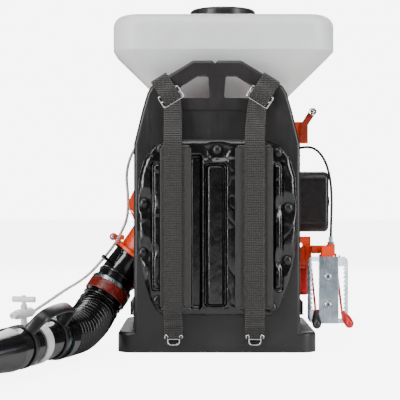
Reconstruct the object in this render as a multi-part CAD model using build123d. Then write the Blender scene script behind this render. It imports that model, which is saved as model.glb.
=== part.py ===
"""Knapsack mist blower: a petrol blower carried on the back, with a chemical tank on top and a
flexible blowing pipe at the left hand.

X runs to the wearer's right as seen from the pad side, +Y from the wearer towards the engine, +Z up.
The origin is on the underside of the frame, where its two long ribs cross. Sizes are in millimetres.
"""
from build123d import *
import math
import os

# ---- pack frame: a moulded back panel on a moulded base -------------------------------------
PANEL_FACE_Y = -150.0      # wearer's face of the back panel
PANEL_DEPTH = 32.0         # how far the panel's rim reaches back
PANEL_WALL = 6.0
PANEL_TOP_Z = 600.0
PANEL_HALF_W = 171.0
BASE_HALF_W = 205.0
BASE_REAR_Y = 190.0
BASE_H = 42.0
BASE_WALL = 6.0
BOSS_H = 16.0             # depth of the damper bosses under the base
RIB_W = 14.0

# ---- damper mounts and engine cradle --------------------------------------------------------
DAMPER_X = 160.0
DAMPER_YS = (-58.0, 95.0)
DAMPER_R = 17.0
DAMPER_H = 30.0
BOLT_R = 4.0
HOLE_GAP = 0.2             # radial clearance of a fixed bolt in its hole
CRADLE_T = 3.0
CRADLE_HALF_W = 181.0
CRADLE_WALL_H = 28.0
NUT_H = 7.0
CRADLE_Z = BASE_H + DAMPER_H

# ---- fan casing and fan ---------------------------------------------------------------------
FAN_Z = 245.0              # height of the crank and fan axis
CASE_FRONT_Y = -102.0
CASE_REAR_Y = 0.0
CASE_SPLIT_Y = -51.0
CASE_WALL = 3.0
VOLUTE_R0 = 146.0          # spiral radius at the tongue
VOLUTE_GROWTH = 52.0       # how much the radius grows in a full turn
TONGUE_ANGLE = 205.0
RIM_OUT = 6.0              # how far the bolted rim stands out
VOLUTE_SPAN = 318.0
INLET_R = 74.0
FAN_R = 130.0
SHAFT_R = 8.0
RUN_GAP = 0.04             # radial gap of a turning shaft in its bore
MOVE_GAP = 0.3             # gap between other curved faces that slide past each other

# ---- outlet, elbow, hose and blowing pipe ---------------------------------------------------
OUTLET_AT = Vector(-176.0, -51.0, 194.0)
OUTLET_DIR = Vector(-0.62, 0.0, -0.785).normalized()
SPIGOT_R = 36.7
SPIGOT_LEN = 20.0
ELBOW_WALL = 3.0
ELBOW_LEG = 46.0
ELBOW_EXIT_DIR = Vector(-0.50, -0.38, -0.78).normalized()
ELBOW_IN_R = SPIGOT_R + MOVE_GAP
ELBOW_OUT_R = ELBOW_IN_R + ELBOW_WALL
ELBOW_CORNER = OUTLET_AT + OUTLET_DIR * (ELBOW_LEG + 1)
ELBOW_END = ELBOW_CORNER + ELBOW_EXIT_DIR * ELBOW_LEG
HOSE_WALL = 4.0
HOSE_R = ELBOW_OUT_R + HOSE_WALL
HOSE_START = ELBOW_END - ELBOW_EXIT_DIR * 16
WAND_START = Vector(-312.0, -282.0, 48.0)    # where the hose ends on the blowing pipe
WAND_DIR = Vector(-0.296, -0.955, 0.0).normalized()
WAND_SIDE = Vector(0, 0, 1).cross(WAND_DIR).normalized()
WAND_TUBE_R = 37.0
WAND_WALL = 2.5
HAND_TUBE_LEN = 215.0
NOZZLE_LEN = 190.0
NOZZLE_END_R = 46.0
GRIP_LEAN = 38.0           # how far the grip leans from upright, in degrees
GRIP_REACH = 74.0          # from the pipe's axis to the grip's bar
VALVE_LIFT = 56.0          # height of the liquid valve's axis over the pipe's
VALVE_SIDE = -14.0
CLIP_AT = Vector(-235.0, -98.0, 193.0)       # where the elbow's clip holds the liquid tube
CLIP_WAY = Vector(-0.60, -0.35, -0.72).normalized()

# ---- engine ---------------------------------------------------------------------------------
CRANKCASE_R = 50.0
CRANKCASE_LEN = 66.0
ENGINE_Y = 33.0            # plane of the cylinder's axis
BORE_R = 21.0
CYL_WALL = 5.0
FIN_COUNT = 8
FIN_PITCH = 8.5
FIN_T = 2.6
FIN_X = 46.0
FIN_Y = 30.0
CYL_FOOT_Z = FAN_Z + 53.0
CYL_TOP_Z = CYL_FOOT_Z + 10.0 + FIN_COUNT * FIN_PITCH
PORT_Z = CYL_FOOT_Z + 22.0
BEARING_R = 17.0
BEARING_W = 8.0
CARB_X0 = FIN_X + 14.0
CARB_X1 = CARB_X0 + 44.0
CARB_TOP_Z = PORT_Z + 34.0
AIR_PLATE_T = 5.0
AIR_COVER_X1 = 246.0
AIR_COVER_WALL = 3.0
AIR_COVER_BOX = (4.0, 106.0, 243.0, 375.0)   # Y from, Y to, Z from, Z to
AIR_COVER_CORNER = 22.0
STARTER_Y0 = CASE_REAR_Y + CRANKCASE_LEN
STARTER_Y1 = STARTER_Y0 + 76.0
STARTER_R = 72.0
STARTER_WALL = 3.0
FLYWHEEL_Y = STARTER_Y0 + 6.0
FLYWHEEL_W = 22.0
FLYWHEEL_R = 58.0
PULLEY_R = 40.0
PULLEY_W = 14.0
ROPE_R = 2.0

# ---- fuel tank ------------------------------------------------------------------------------
FUEL_BOX = (-82.0, 208.0, 16.0, 138.0)   # X from, X to, Y from, Y to
FUEL_TOP_Z = 172.0
FUEL_WALL = 3.0
FUEL_CAP_AT = (140.0, 104.0)
FUEL_NECK_R = 17.0

# ---- tank -----------------------------------------------------------------------------------
TANK_X = 15.0
TANK_Y = 18.0
TANK_FOOT_Z = 496.0
TANK_EDGE_Z = 628.0        # where the funnel meets the upright walls
TANK_TOP_Z = 704.0
TANK_HALF_W = 234.0
TANK_HALF_D = 128.0
TANK_WALL = 3.5
NECK_R = 62.0
GATE_Z0 = TANK_FOOT_Z - 56.0   # underside of the gate housing
GATE_Z1 = TANK_FOOT_Z
ROCKER_AT = (186.0, -46.0, 446.0)
LIQUID_OUTLET_AT = Vector(-78.0, TANK_Y - 30.0, 466.0)
LIQUID_OUTLET_WAY = Vector(-1.0, -0.3, -0.2).normalized()

# ---- levers ---------------------------------------------------------------------------------
BRACKET_Y = -132.0         # wearer's face of the lever bracket
BRACKET_T = 2.0
BRACKET_X0 = 188.0
BRACKET_X1 = 272.0
BRACKET_Z0 = 58.0
BRACKET_Z1 = 196.0
FACE_X0 = 211.0
FACE_X1 = 250.0
FLANGE_BACK = 11.0         # how far the side flanges are bent back
BRACKET_SCREW_X = 229.0
BRACKET_SCREW_ZS = (96.0, 154.0)
ARM_Y0 = BRACKET_Y + BRACKET_T
LEVER_CLEAR_Z = 201.0      # the arm passes over both levers above this height
CABLE_AT = (239.0, -92.0)  # X and Y of the cable's lower ferrule
LEVER_PIVOT = (-20.0, 186.0)   # Y and Z of the pivot that both levers turn on
LEVER_SLOPE = 41.0         # degrees below level, at rest
LEVER_X = {"gate": 203.0, "throttle": 257.0}
LEVER_T = 3.0
LEVER_PIN_R = 4.0
STEM_R = 2.4

# ---- soft parts -----------------------------------------------------------------------------
PAD_T = 24.0
PAD_TOP_Z = 436.0
PAD_BOTTOM_Z = 76.0
PAD_HALF_W = 160.0
STRAP_W = 40.0
WEB_T = 2.5
STRAP_X = {"left": -90.0, "right": 76.0}
SHOULDER_X = {"left": (-116.0, -53.0), "right": (36.0, 113.0)}
SHOULDER_T = 16.0
SHOULDER_TOP_Z = 424.0
SHOULDER_BOTTOM_Z = 92.0
SOFT_GAP = 1.5
RIVETS = [                 # X and Z of the studs that hold the back pad
    (-115, 418), (0, 415), (123, 410), (-149, 307), (145, 297), (-151, 206), (143, 190),
    (-122, 108), (112, 94),
]

LINE_R = 3.0               # liquid tube
CABLE_R = 2.75             # throttle cable


# ---- helpers --------------------------------------------------------------------------------
def block(x0, x1, y0, y1, z0, z1):
    """A box given by its two corners."""
    centre = ((x0 + x1) / 2, (y0 + y1) / 2, (z0 + z1) / 2)
    return Pos(*centre) * Box(x1 - x0, y1 - y0, z1 - z0)


def rod(start, direction, radius, length):
    """A cylinder from start along direction."""
    plane = Plane(origin=Vector(*start), z_dir=Vector(*direction))
    return extrude(plane * Circle(radius), length)


def pipe(start, direction, outer, inner, length):
    """A hollow cylinder from start along direction."""
    plane = Plane(origin=Vector(*start), z_dir=Vector(*direction))
    return extrude(plane * (Circle(outer) - Circle(inner)), length)


def rod_x(x0, x1, y, z, radius):
    return rod((x0, y, z), (1, 0, 0), radius, x1 - x0)


def rod_y(y0, y1, x, z, radius):
    return rod((x, y0, z), (0, 1, 0), radius, y1 - y0)


def rod_z(z0, z1, x, y, radius):
    return rod((x, y, z0), (0, 0, 1), radius, z1 - z0)


def slab_xz(face, y0, y1):
    """Extrude a flat X-Z outline from y0 to y1."""
    plane = Plane(origin=(0, y1, 0), x_dir=(1, 0, 0), z_dir=(0, -1, 0))
    return extrude(plane * face, y1 - y0)


def slab_yz(face, x0, x1):
    """Extrude a flat Y-Z outline from x0 to x1."""
    plane = Plane(origin=(x0, 0, 0), x_dir=(0, 1, 0), z_dir=(1, 0, 0))
    return extrude(plane * face, x1 - x0)


def outline(points, corner=0.0):
    """A closed flat face through points, with its corners rounded."""
    face = make_face(Polyline(*points, close=True))
    return fillet(face.vertices(), corner) if corner else face


def bolt(head_at, direction, radius, length, head_r, head_h):
    """A bolt whose shank runs from head_at along direction, with its head behind that point."""
    way = Vector(*direction).normalized()
    start = Vector(*head_at)
    return rod(start, way, radius, length) + rod(start, way * -1, head_r, head_h)


def cord_radii(points):
    """The arc at each inner point: 0.45 of the shorter run, over the tangent of half the turn."""
    radii = []
    for before, here, after in zip(points, points[1:], points[2:]):
        run_in, run_out = here - before, after - here
        half_turn = math.radians(run_in.get_angle(run_out)) / 2
        radii.append(0.45 * min(run_in.length, run_out.length) / math.tan(half_turn))
    return radii


def cord(name, points, radius):
    """A round cord along straight runs joined by tangent arcs."""
    points = [Vector(*p) for p in points]
    radii = cord_radii(points)
    print(name, "arc radii", [round(r) for r in radii])
    path = FilletPolyline(*points, radius=radii)
    plane = Plane(origin=points[0], z_dir=points[1] - points[0])
    solid = sweep(plane * Circle(radius), path=path)
    expected = math.pi * radius**2 * path.length
    print(name, "length", round(path.length, 1), "volume ratio", round(solid.volume / expected, 4))
    return solid


# ---- pack frame -----------------------------------------------------------------------------
def panel_outline():
    """The back panel's outline, shouldered towards the carrying handle."""
    top = PANEL_TOP_Z
    half = PANEL_HALF_W
    right = [
        (0.29 * half, top),
        (0.55 * half, top - 27),
        (0.79 * half, top - 53),
        (0.84 * half, top - 67),
        (0.90 * half, top - 102),
        (half, top - 172),
        (half, 20),
    ]
    left = [(-x, z) for x, z in reversed(right)]
    return outline(right + left, 11)


def handle_opening(side):
    """One finger opening of the carrying handle."""
    top = PANEL_TOP_Z
    points = [(14, top - 78), (80, top - 78), (74, top - 52), (40, top - 31), (18, top - 31)]
    return outline([(side * x, z) for x, z in points], 5)


def make_pack_frame():
    face = panel_outline()
    rear_y = PANEL_FACE_Y + PANEL_DEPTH
    panel = slab_xz(face, PANEL_FACE_Y, rear_y)
    front_edges = panel.edges().filter_by_position(Axis.Y, PANEL_FACE_Y, PANEL_FACE_Y)
    panel = fillet(front_edges, 8)
    hollow = offset(face, -PANEL_WALL)
    for side in (-1, 1):
        opening = handle_opening(side)
        panel -= slab_xz(opening, PANEL_FACE_Y - 1, rear_y + 1)
        hollow -= offset(opening, PANEL_WALL)
    low_bar = Pos(0, PANEL_TOP_Z - 92) * Rectangle(2 * PANEL_HALF_W, PANEL_WALL)
    panel -= slab_xz(hollow - low_bar, PANEL_FACE_Y + PANEL_WALL, rear_y + 1)

    notch = outline([(-12, PANEL_TOP_Z + 2), (4, PANEL_TOP_Z + 2), (-4, PANEL_TOP_Z - 7)])
    panel -= slab_xz(notch, PANEL_FACE_Y - 1, rear_y + 1)
    recess_z1 = PANEL_TOP_Z - 102
    panel -= block(-86, 80, PANEL_FACE_Y - 1, PANEL_FACE_Y + 3, PAD_TOP_Z - 30, recess_z1)

    centre_y = (PANEL_FACE_Y + BASE_REAR_Y) / 2
    size_y = BASE_REAR_Y - PANEL_FACE_Y
    foot = Pos(0, centre_y) * RectangleRounded(2 * BASE_HALF_W, size_y, 34)
    base = extrude(foot, BASE_H)
    base = fillet(base.edges().filter_by_position(Axis.Z, BASE_H, BASE_H), 7)
    base -= extrude(offset(foot, -BASE_WALL), BASE_H - BASE_WALL)
    inside = offset(foot, -BASE_WALL / 2)
    for strip in (
        Pos(0, centre_y) * Rectangle(RIB_W, size_y),
        Rectangle(2 * BASE_HALF_W, RIB_W),
        Pos(0, centre_y + 36) * Rectangle(2 * BASE_HALF_W, BASE_WALL),
        Pos(-95, centre_y) * Rectangle(BASE_WALL, size_y),
        Pos(95, centre_y) * Rectangle(BASE_WALL, size_y),
    ):
        base += extrude(strip & inside, BASE_H - BASE_WALL / 2)

    frame = panel + base
    for x in (-118, 118):
        web = outline([(PANEL_FACE_Y + 3, BASE_H - 4), (rear_y + 12, BASE_H - 4),
                       (rear_y - 2, 150), (PANEL_FACE_Y + 3, 150)])
        frame += slab_yz(web, x - 3, x + 3)
    for x, y in damper_places():
        frame += rod_z(BASE_H - BOSS_H, BASE_H - 1, x, y, DAMPER_R)
        frame -= rod_z(BASE_H - 30, BASE_H + 1, x, y, BOLT_R + HOLE_GAP)
    for x in (STRAP_X["left"], STRAP_X["right"]):
        frame -= rod_x(x - 13, x + 13, PANEL_FACE_Y - 2, 26, 4.5)
    return frame


def damper_places():
    return [(x, y) for x in (-DAMPER_X, DAMPER_X) for y in DAMPER_YS]


# ---- dampers and cradle ---------------------------------------------------------------------
def make_mounting():
    dampers, bolts = [], []
    top = CRADLE_Z + CRADLE_T
    for x, y in damper_places():
        body = rod_z(BASE_H, CRADLE_Z, x, y, DAMPER_R)
        waist = rod_z(BASE_H + 10, CRADLE_Z - 10, x, y, DAMPER_R + 1)
        body -= waist - rod_z(BASE_H, CRADLE_Z, x, y, DAMPER_R - 3)
        dampers.append(body - rod_z(BASE_H - 1, CRADLE_Z + 1, x, y, BOLT_R + HOLE_GAP))
        head_z = BASE_H - BOSS_H
        bolts.append(bolt((x, y, head_z), (0, 0, 1), BOLT_R, top + NUT_H + 1 - head_z, 7, 5))
        nut = extrude(Pos(x, y, top) * RegularPolygon(7.5, 6), NUT_H)
        bolts.append(nut - rod_z(top - 1, top + NUT_H + 1, x, y, BOLT_R + 0.05))

    y0, y1 = CASE_FRONT_Y + 8, DAMPER_YS[1] + 24
    plate = block(-CRADLE_HALF_W, CRADLE_HALF_W, y0, y1, CRADLE_Z, top)
    plate -= block(-125, 125, y0 + 28, y1 - 28, CRADLE_Z - 1, top + 1)
    for side in (-1, 1):
        wall_x = side * CRADLE_HALF_W
        x0, x1 = sorted((wall_x, wall_x - side * CRADLE_T))
        wall = block(x0, x1, y0, y1, CRADLE_Z, CRADLE_Z + CRADLE_WALL_H)
        for y in (-40, 15, 70):
            wall -= rod_x(x0 - 1, x1 + 1, y, CRADLE_Z + 16, 7)
        plate += wall
    for x, y in damper_places():
        plate -= rod_z(CRADLE_Z - 1, top + 1, x, y, BOLT_R + HOLE_GAP)
    return {
        "rubber_dampers": Compound(dampers),
        "damper_bolts": Compound(bolts),
        "engine_cradle": plate,
    }


# ---- fan casing -----------------------------------------------------------------------------
def volute_radius(angle_deg):
    """Spiral radius at an angle, growing anticlockwise from the tongue to the outlet."""
    share = ((angle_deg - TONGUE_ANGLE) % 360) / 360
    return VOLUTE_R0 + VOLUTE_GROWTH * share


def volute_face(grow=0.0):
    """The spiral outline of the casing, seen from the wearer's side, grown outwards by grow."""
    steps = 15
    points = []
    for i in range(steps + 1):
        angle = TONGUE_ANGLE + VOLUTE_SPAN * i / steps
        r = volute_radius(angle) + grow
        points.append((r * math.cos(math.radians(angle)), FAN_Z + r * math.sin(math.radians(angle))))
    curve = Spline(*points)
    close = Line(points[-1], points[0])
    return make_face(curve + close)


def outlet_loft(grow):
    """The duct from the spiral to the round outlet, at its inner size plus grow."""
    start = OUTLET_AT - OUTLET_DIR * 128
    mouth = Plane(origin=OUTLET_AT, x_dir=(0, 1, 0), z_dir=OUTLET_DIR)
    root = Plane(origin=start, x_dir=(0, 1, 0), z_dir=OUTLET_DIR)
    depth = CASE_REAR_Y - CASE_FRONT_Y - 2 * CASE_WALL
    inner_r = SPIGOT_R - CASE_WALL
    square = root * RectangleRounded(depth + 2 * grow, 84 + 2 * grow, 12)
    circle = mouth * Circle(inner_r + grow)
    return loft([square, circle])


def casing_screw_places():
    """Screw bosses round the casing's rim."""
    places = []
    for angle in (232, 270, 304, 330, 24, 62, 98):
        r = volute_radius(angle) + 9
        places.append((r * math.cos(math.radians(angle)), FAN_Z + r * math.sin(math.radians(angle))))
    return places


def make_casing():
    outer = slab_xz(volute_face(), CASE_FRONT_Y, CASE_REAR_Y) + outlet_loft(CASE_WALL)
    inner = slab_xz(volute_face(-CASE_WALL), CASE_FRONT_Y + CASE_WALL, CASE_REAR_Y - CASE_WALL)
    rim = slab_xz(volute_face(RIM_OUT), CASE_SPLIT_Y - 5, CASE_SPLIT_Y + 5)
    shell = outer + rim
    for x, z in casing_screw_places():
        shell += rod_y(CASE_SPLIT_Y - 12, CASE_SPLIT_Y + 14, x, z, 9)
    for x in (-62, 62):
        shell += block(x - 22, x + 22, CASE_FRONT_Y + 14, CASE_REAR_Y - 14, CRADLE_Z + CRADLE_T, 112)
    ears = block(148, 199, CASE_SPLIT_Y - 16, CASE_SPLIT_Y + 4, 174, 235)
    ears -= rod_y(CASE_FRONT_Y, CASE_REAR_Y, 178, 217, 5)
    shell += ears
    shell -= inner
    shell -= outlet_loft(0)
    spigot_start = OUTLET_AT - OUTLET_DIR * 2
    shell += pipe(spigot_start, OUTLET_DIR, SPIGOT_R, SPIGOT_R - CASE_WALL, SPIGOT_LEN + 2)
    shell += pipe(OUTLET_AT - OUTLET_DIR * 7, OUTLET_DIR, 52, SPIGOT_R - 1, 6)
    for x, z in casing_screw_places():
        shell -= rod_y(CASE_SPLIT_Y - 13, CASE_SPLIT_Y + 12, x, z, 2.5 + HOLE_GAP)

    front = shell & block(-400, 400, CASE_FRONT_Y - 20, CASE_SPLIT_Y, 0, 600)
    rear = shell & block(-400, 400, CASE_SPLIT_Y, CASE_REAR_Y + 40, 0, 600)
    front -= rod_y(CASE_FRONT_Y - 2, CASE_FRONT_Y + CASE_WALL + 1, 0, FAN_Z, INLET_R)
    front += pipe((0, CASE_FRONT_Y + CASE_WALL, FAN_Z), (0, 1, 0), INLET_R + 3, INLET_R, 8)
    rear -= rod_y(CASE_REAR_Y - CASE_WALL - 1, CASE_REAR_Y + 1, 0, FAN_Z, 30)
    for x, z in engine_bolt_places():
        rear -= rod_y(CASE_REAR_Y - CASE_WALL - 1, CASE_REAR_Y + 1, x, z, 3 + HOLE_GAP)

    screws = []
    for x, z in casing_screw_places():
        head = (x, CASE_SPLIT_Y - 12, z)
        screws.append(bolt(head, (0, 1, 0), 2.5, 23, 5, 3.5))
    for x, z in engine_bolt_places():
        screws.append(bolt((x, CASE_REAR_Y + 12, z), (0, -1, 0), 3, 18, 5.5, 5))
    front += make_inlet_guard()
    return {"fan_case_front": front, "fan_case_rear": rear, "case_screws": Compound(screws)}


def engine_bolt_places():
    return [(41 * sx, FAN_Z + 41 * sz) for sx in (-1, 1) for sz in (-1, 1)]


def make_inlet_guard():
    """A ring guard over the fan's air inlet."""
    y0 = CASE_FRONT_Y
    guard = pipe((0, y0, FAN_Z), (0, 1, 0), INLET_R + 1, INLET_R - 2, 4)
    for r in (16, 30, 44, 58):
        guard += pipe((0, y0, FAN_Z), (0, 1, 0), r + 1.6, r - 1.6, 4)
    for turn in range(3):
        bar = block(-INLET_R, INLET_R, y0, y0 + 4, -2, 2)
        guard += Pos(0, 0, FAN_Z) * Rot(0, 60 * turn, 0) * bar
    return guard


def make_fan():
    """A backplate with curved blades, keyed to the crankshaft."""
    y_back = -24.0
    wheel = rod_y(y_back - 3, y_back, 0, FAN_Z, FAN_R)
    wheel += rod_y(-66, y_back, 0, FAN_Z, 20)
    blade_count = 14
    inner, outer = 60.0, FAN_R - 2
    swept = ThreePointArc((inner, 0), (95, 18), (outer * 0.9, outer * 0.43))
    blade_face = offset(swept, 1.3, side=Side.BOTH, closed=True)
    blade = slab_xz(make_face(blade_face.edges()), -88, y_back - 1)
    for i in range(blade_count):
        wheel += Pos(0, 0, FAN_Z) * Rot(0, 360 * i / blade_count, 0) * blade
    return wheel - rod_y(-90, 0, 0, FAN_Z, SHAFT_R)


# ---- engine ---------------------------------------------------------------------------------
def make_engine():
    y0, y1 = CASE_REAR_Y, CASE_REAR_Y + CRANKCASE_LEN
    case = rod_y(y0, y1, 0, FAN_Z, CRANKCASE_R)
    case += block(-34, 34, ENGINE_Y - 28, ENGINE_Y + 28, FAN_Z, CYL_FOOT_Z)
    for x, z in engine_bolt_places():
        case += rod_y(y0, y0 + 12, x, z, 9)
    case -= rod_y(y0 + BEARING_W, y1 - BEARING_W, 0, FAN_Z, CRANKCASE_R - 7)
    case -= rod_y(y0 - 1, y1 + 1, 0, FAN_Z, BEARING_R)
    case -= rod_z(FAN_Z, CYL_FOOT_Z + 1, 0, ENGINE_Y, BORE_R)
    for x, z in engine_bolt_places():
        case -= rod_y(y0 - 1, y0 + 13, x, z, 3 + HOLE_GAP)

    bearings = []
    for start in (y0, y1 - BEARING_W):
        bearings.append(pipe((0, start, FAN_Z), (0, 1, 0), BEARING_R, SHAFT_R + RUN_GAP, BEARING_W))

    crank = rod_y(-72, 106, 0, FAN_Z, SHAFT_R)
    for start in (ENGINE_Y - 20, ENGINE_Y + 10):
        crank += rod_y(start, start + 10, 0, FAN_Z, 37)
    crank -= rod_y(ENGINE_Y - 10, ENGINE_Y + 10, 0, FAN_Z, 12)
    crank += rod_y(ENGINE_Y - 12, ENGINE_Y + 12, 0, FAN_Z + 17, 7)

    cylinder = rod_z(CYL_FOOT_Z, CYL_TOP_Z, 0, ENGINE_Y, BORE_R + CYL_WALL)
    cylinder += block(-34, 34, ENGINE_Y - 28, ENGINE_Y + 28, CYL_FOOT_Z, CYL_FOOT_Z + 6)
    for i in range(FIN_COUNT):
        z = CYL_FOOT_Z + 12 + i * FIN_PITCH
        cylinder += block(-FIN_X, FIN_X, ENGINE_Y - FIN_Y, ENGINE_Y + FIN_Y, z, z + FIN_T)
    cylinder += block(-FIN_X - 4, FIN_X + 4, ENGINE_Y - 16, ENGINE_Y + 16, PORT_Z - 13, PORT_Z + 13)
    cylinder -= rod_z(CYL_FOOT_Z - 1, CYL_TOP_Z - 8, 0, ENGINE_Y, BORE_R)
    cylinder -= rod_x(-FIN_X - 5, FIN_X + 5, ENGINE_Y, PORT_Z, 9)
    cylinder -= rod_z(CYL_TOP_Z - 9, CYL_TOP_Z + 1, 0, ENGINE_Y, 7)

    piston_top = CYL_TOP_Z - 12
    piston = rod_z(piston_top - 34, piston_top, 0, ENGINE_Y, BORE_R - 0.1)
    piston -= rod_z(piston_top - 35, piston_top - 5, 0, ENGINE_Y, BORE_R - 4)
    piston -= rod_x(-BORE_R, BORE_R, ENGINE_Y, piston_top - 18, 5)
    pin = rod_x(-BORE_R + 1.5, BORE_R - 1.5, ENGINE_Y, piston_top - 18, 5)

    plug = rod_z(CYL_TOP_Z - 8, CYL_TOP_Z, 0, ENGINE_Y, 7)
    plug += extrude(Pos(0, ENGINE_Y, CYL_TOP_Z) * RegularPolygon(11, 6), 9)
    plug += rod_z(CYL_TOP_Z + 9, CYL_TOP_Z + 22, 0, ENGINE_Y, 5)
    boot = rod_z(CYL_TOP_Z + 12, CYL_TOP_Z + 32, 0, ENGINE_Y, 10)
    boot += rod((0, ENGINE_Y, CYL_TOP_Z + 24), (0, 1, 0.15), 7, 26)
    boot -= rod_z(CYL_TOP_Z + 9, CYL_TOP_Z + 22, 0, ENGINE_Y, 5)

    low_z = FAN_Z + STARTER_R + 3
    shroud = block(-62, 62, CASE_REAR_Y, ENGINE_Y + 46, low_z, CYL_TOP_Z + 6)
    shroud = fillet(shroud.edges().filter_by(Axis.Z), 10)
    shroud -= block(-59, 59, CASE_REAR_Y - 1, ENGINE_Y + 43, low_z - 1, CYL_TOP_Z + 3)
    shroud -= block(-70, 70, ENGINE_Y - 22, ENGINE_Y + 22, low_z - 1, PORT_Z + 20)
    shroud -= rod_z(CYL_TOP_Z, CYL_TOP_Z + 8, 0, ENGINE_Y, 14)
    for x in (-34, -17, 0, 17, 34):
        shroud -= block(x - 4, x + 4, ENGINE_Y + 38, ENGINE_Y + 48, low_z + 8, CYL_TOP_Z - 8)
    return {
        "crankcase": case,
        "crank_bearings": Compound(bearings),
        "crankshaft": crank,
        "cylinder": cylinder,
        "piston": Compound([piston, pin]),
        "spark_plug": Compound([plug, boot]),
        "cylinder_shroud": shroud,
    }


def make_exhaust():
    x1 = -FIN_X - 4
    flange = block(x1 - 16, x1, ENGINE_Y - 15, ENGINE_Y + 15, PORT_Z - 12, PORT_Z + 12)
    box = block(x1 - 92, x1 - 16, ENGINE_Y - 29, ENGINE_Y + 41, PORT_Z - 34, PORT_Z + 44)
    box = fillet(box.edges(), 9)
    muffler = box + flange - rod_x(x1 - 40, x1 + 1, ENGINE_Y, PORT_Z, 9)
    muffler += rod((x1 - 60, ENGINE_Y + 36, PORT_Z + 22), (0, 1, 0), 8, 18)
    muffler -= rod((x1 - 60, ENGINE_Y + 36, PORT_Z + 22), (0, 1, 0), 6, 19)
    x_out = x1 - 92
    guard = block(x_out - 7, x_out - 4.5, ENGINE_Y - 28, ENGINE_Y + 44.5, PORT_Z - 38, PORT_Z + 48)
    guard += block(x_out - 7, x_out + 30, ENGINE_Y + 42, ENGINE_Y + 44.5, PORT_Z - 38, PORT_Z + 6)
    for row in range(5):
        for col in range(4):
            y = ENGINE_Y - 20 + 16 * col
            z = PORT_Z - 26 + 15 * row
            guard -= rod_x(x_out - 8, x_out - 3, y, z, 4.5)
    for z in (PORT_Z - 20, PORT_Z + 30):
        guard += rod_x(x_out - 5, x_out, ENGINE_Y + 4, z, 4)
    return {"muffler": Compound([muffler, guard])}


def make_intake():
    """Insulator, carburettor with its slide, and the air cleaner."""
    carb_mid = (CARB_X0 + CARB_X1) / 2
    body = block(CARB_X0, CARB_X1, ENGINE_Y - 17, ENGINE_Y + 17, PORT_Z - 17, PORT_Z + 17)
    body += block(FIN_X + 4, CARB_X0, ENGINE_Y - 15, ENGINE_Y + 15, PORT_Z - 12, PORT_Z + 12)
    body += rod_z(PORT_Z, CARB_TOP_Z, carb_mid, ENGINE_Y, 15)
    body += rod_z(PORT_Z - 36, PORT_Z - 17, carb_mid, ENGINE_Y, 15)
    body -= rod_x(FIN_X, CARB_X1 + 1, ENGINE_Y, PORT_Z, 8)
    body -= rod_z(PORT_Z - 8.5, CARB_TOP_Z + 1, carb_mid, ENGINE_Y, 9 + RUN_GAP)
    slide = rod_z(PORT_Z - 8, PORT_Z + 12, carb_mid, ENGINE_Y, 9)
    slide -= rod_z(PORT_Z + 2, PORT_Z + 13, carb_mid, ENGINE_Y, 6)
    cap = rod_z(CARB_TOP_Z, CARB_TOP_Z + 7, carb_mid, ENGINE_Y, 16)
    cap += rod_z(CARB_TOP_Z + 7, CARB_TOP_Z + 15, carb_mid, ENGINE_Y, 7)
    cap -= rod_z(CARB_TOP_Z - 1, CARB_TOP_Z + 16, carb_mid, ENGINE_Y, CABLE_R + 2.8)

    x0, x1, wall = CARB_X1 + AIR_PLATE_T, AIR_COVER_X1, AIR_COVER_WALL
    y0, y1, z0, z1 = AIR_COVER_BOX
    plate = block(CARB_X1, x0, y0, y1, z0, z1)
    plate = fillet(plate.edges().filter_by(Axis.X), AIR_COVER_CORNER)
    plate -= rod_x(CARB_X1 - 1, x0 + 1, ENGINE_Y, PORT_Z, 8)
    cover = block(x0, x1, y0, y1, z0, z1)
    cover = fillet(cover.edges().filter_by(Axis.X), AIR_COVER_CORNER)
    cover = fillet(cover.edges().filter_by_position(Axis.X, x1, x1), 9)
    inside = block(x0 - 1, x1 - wall, y0 + wall, y1 - wall, z0 + wall, z1 - wall)
    cover -= fillet(inside.edges().filter_by(Axis.X), AIR_COVER_CORNER - wall)
    knob_y, knob_z = y1 - 22, (z0 + z1) / 2
    cover -= rod_x(x1 - 10, x1 + 1, knob_y, knob_z, 3 + HOLE_GAP)
    knob = rod_x(x1, x1 + 8, knob_y, knob_z, 11) + rod_x(x0, x1, knob_y, knob_z, 3)
    element = block(x0, x0 + 55, y0 + 8, y1 - 34, z0 + 16, z1 - 16)
    element = fillet(element.edges().filter_by(Axis.X), 10)
    element -= block(x0 - 1, x0 + 45, y0 + 20, y1 - 46, z0 + 28, z1 - 28)
    choke_z = PORT_Z - 30
    choke = rod_x(CARB_X1 - 4, CARB_X1 - MOVE_GAP, ENGINE_Y + 28, choke_z, 6)
    choke += block(CARB_X1 - 4, CARB_X1 - 1.5, ENGINE_Y + 28, ENGINE_Y + 62, choke_z - 4, choke_z + 4)
    choke += rod_x(CARB_X1 - 12, CARB_X1 - 1.5, ENGINE_Y + 62, choke_z, 5)
    return {
        "carburettor": Compound([body, cap]),
        "throttle_slide": slide,
        "air_cleaner_plate": plate,
        "air_cleaner_cover": Compound([cover, knob]),
        "filter_element": element,
        "choke_lever": choke,
    }


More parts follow.
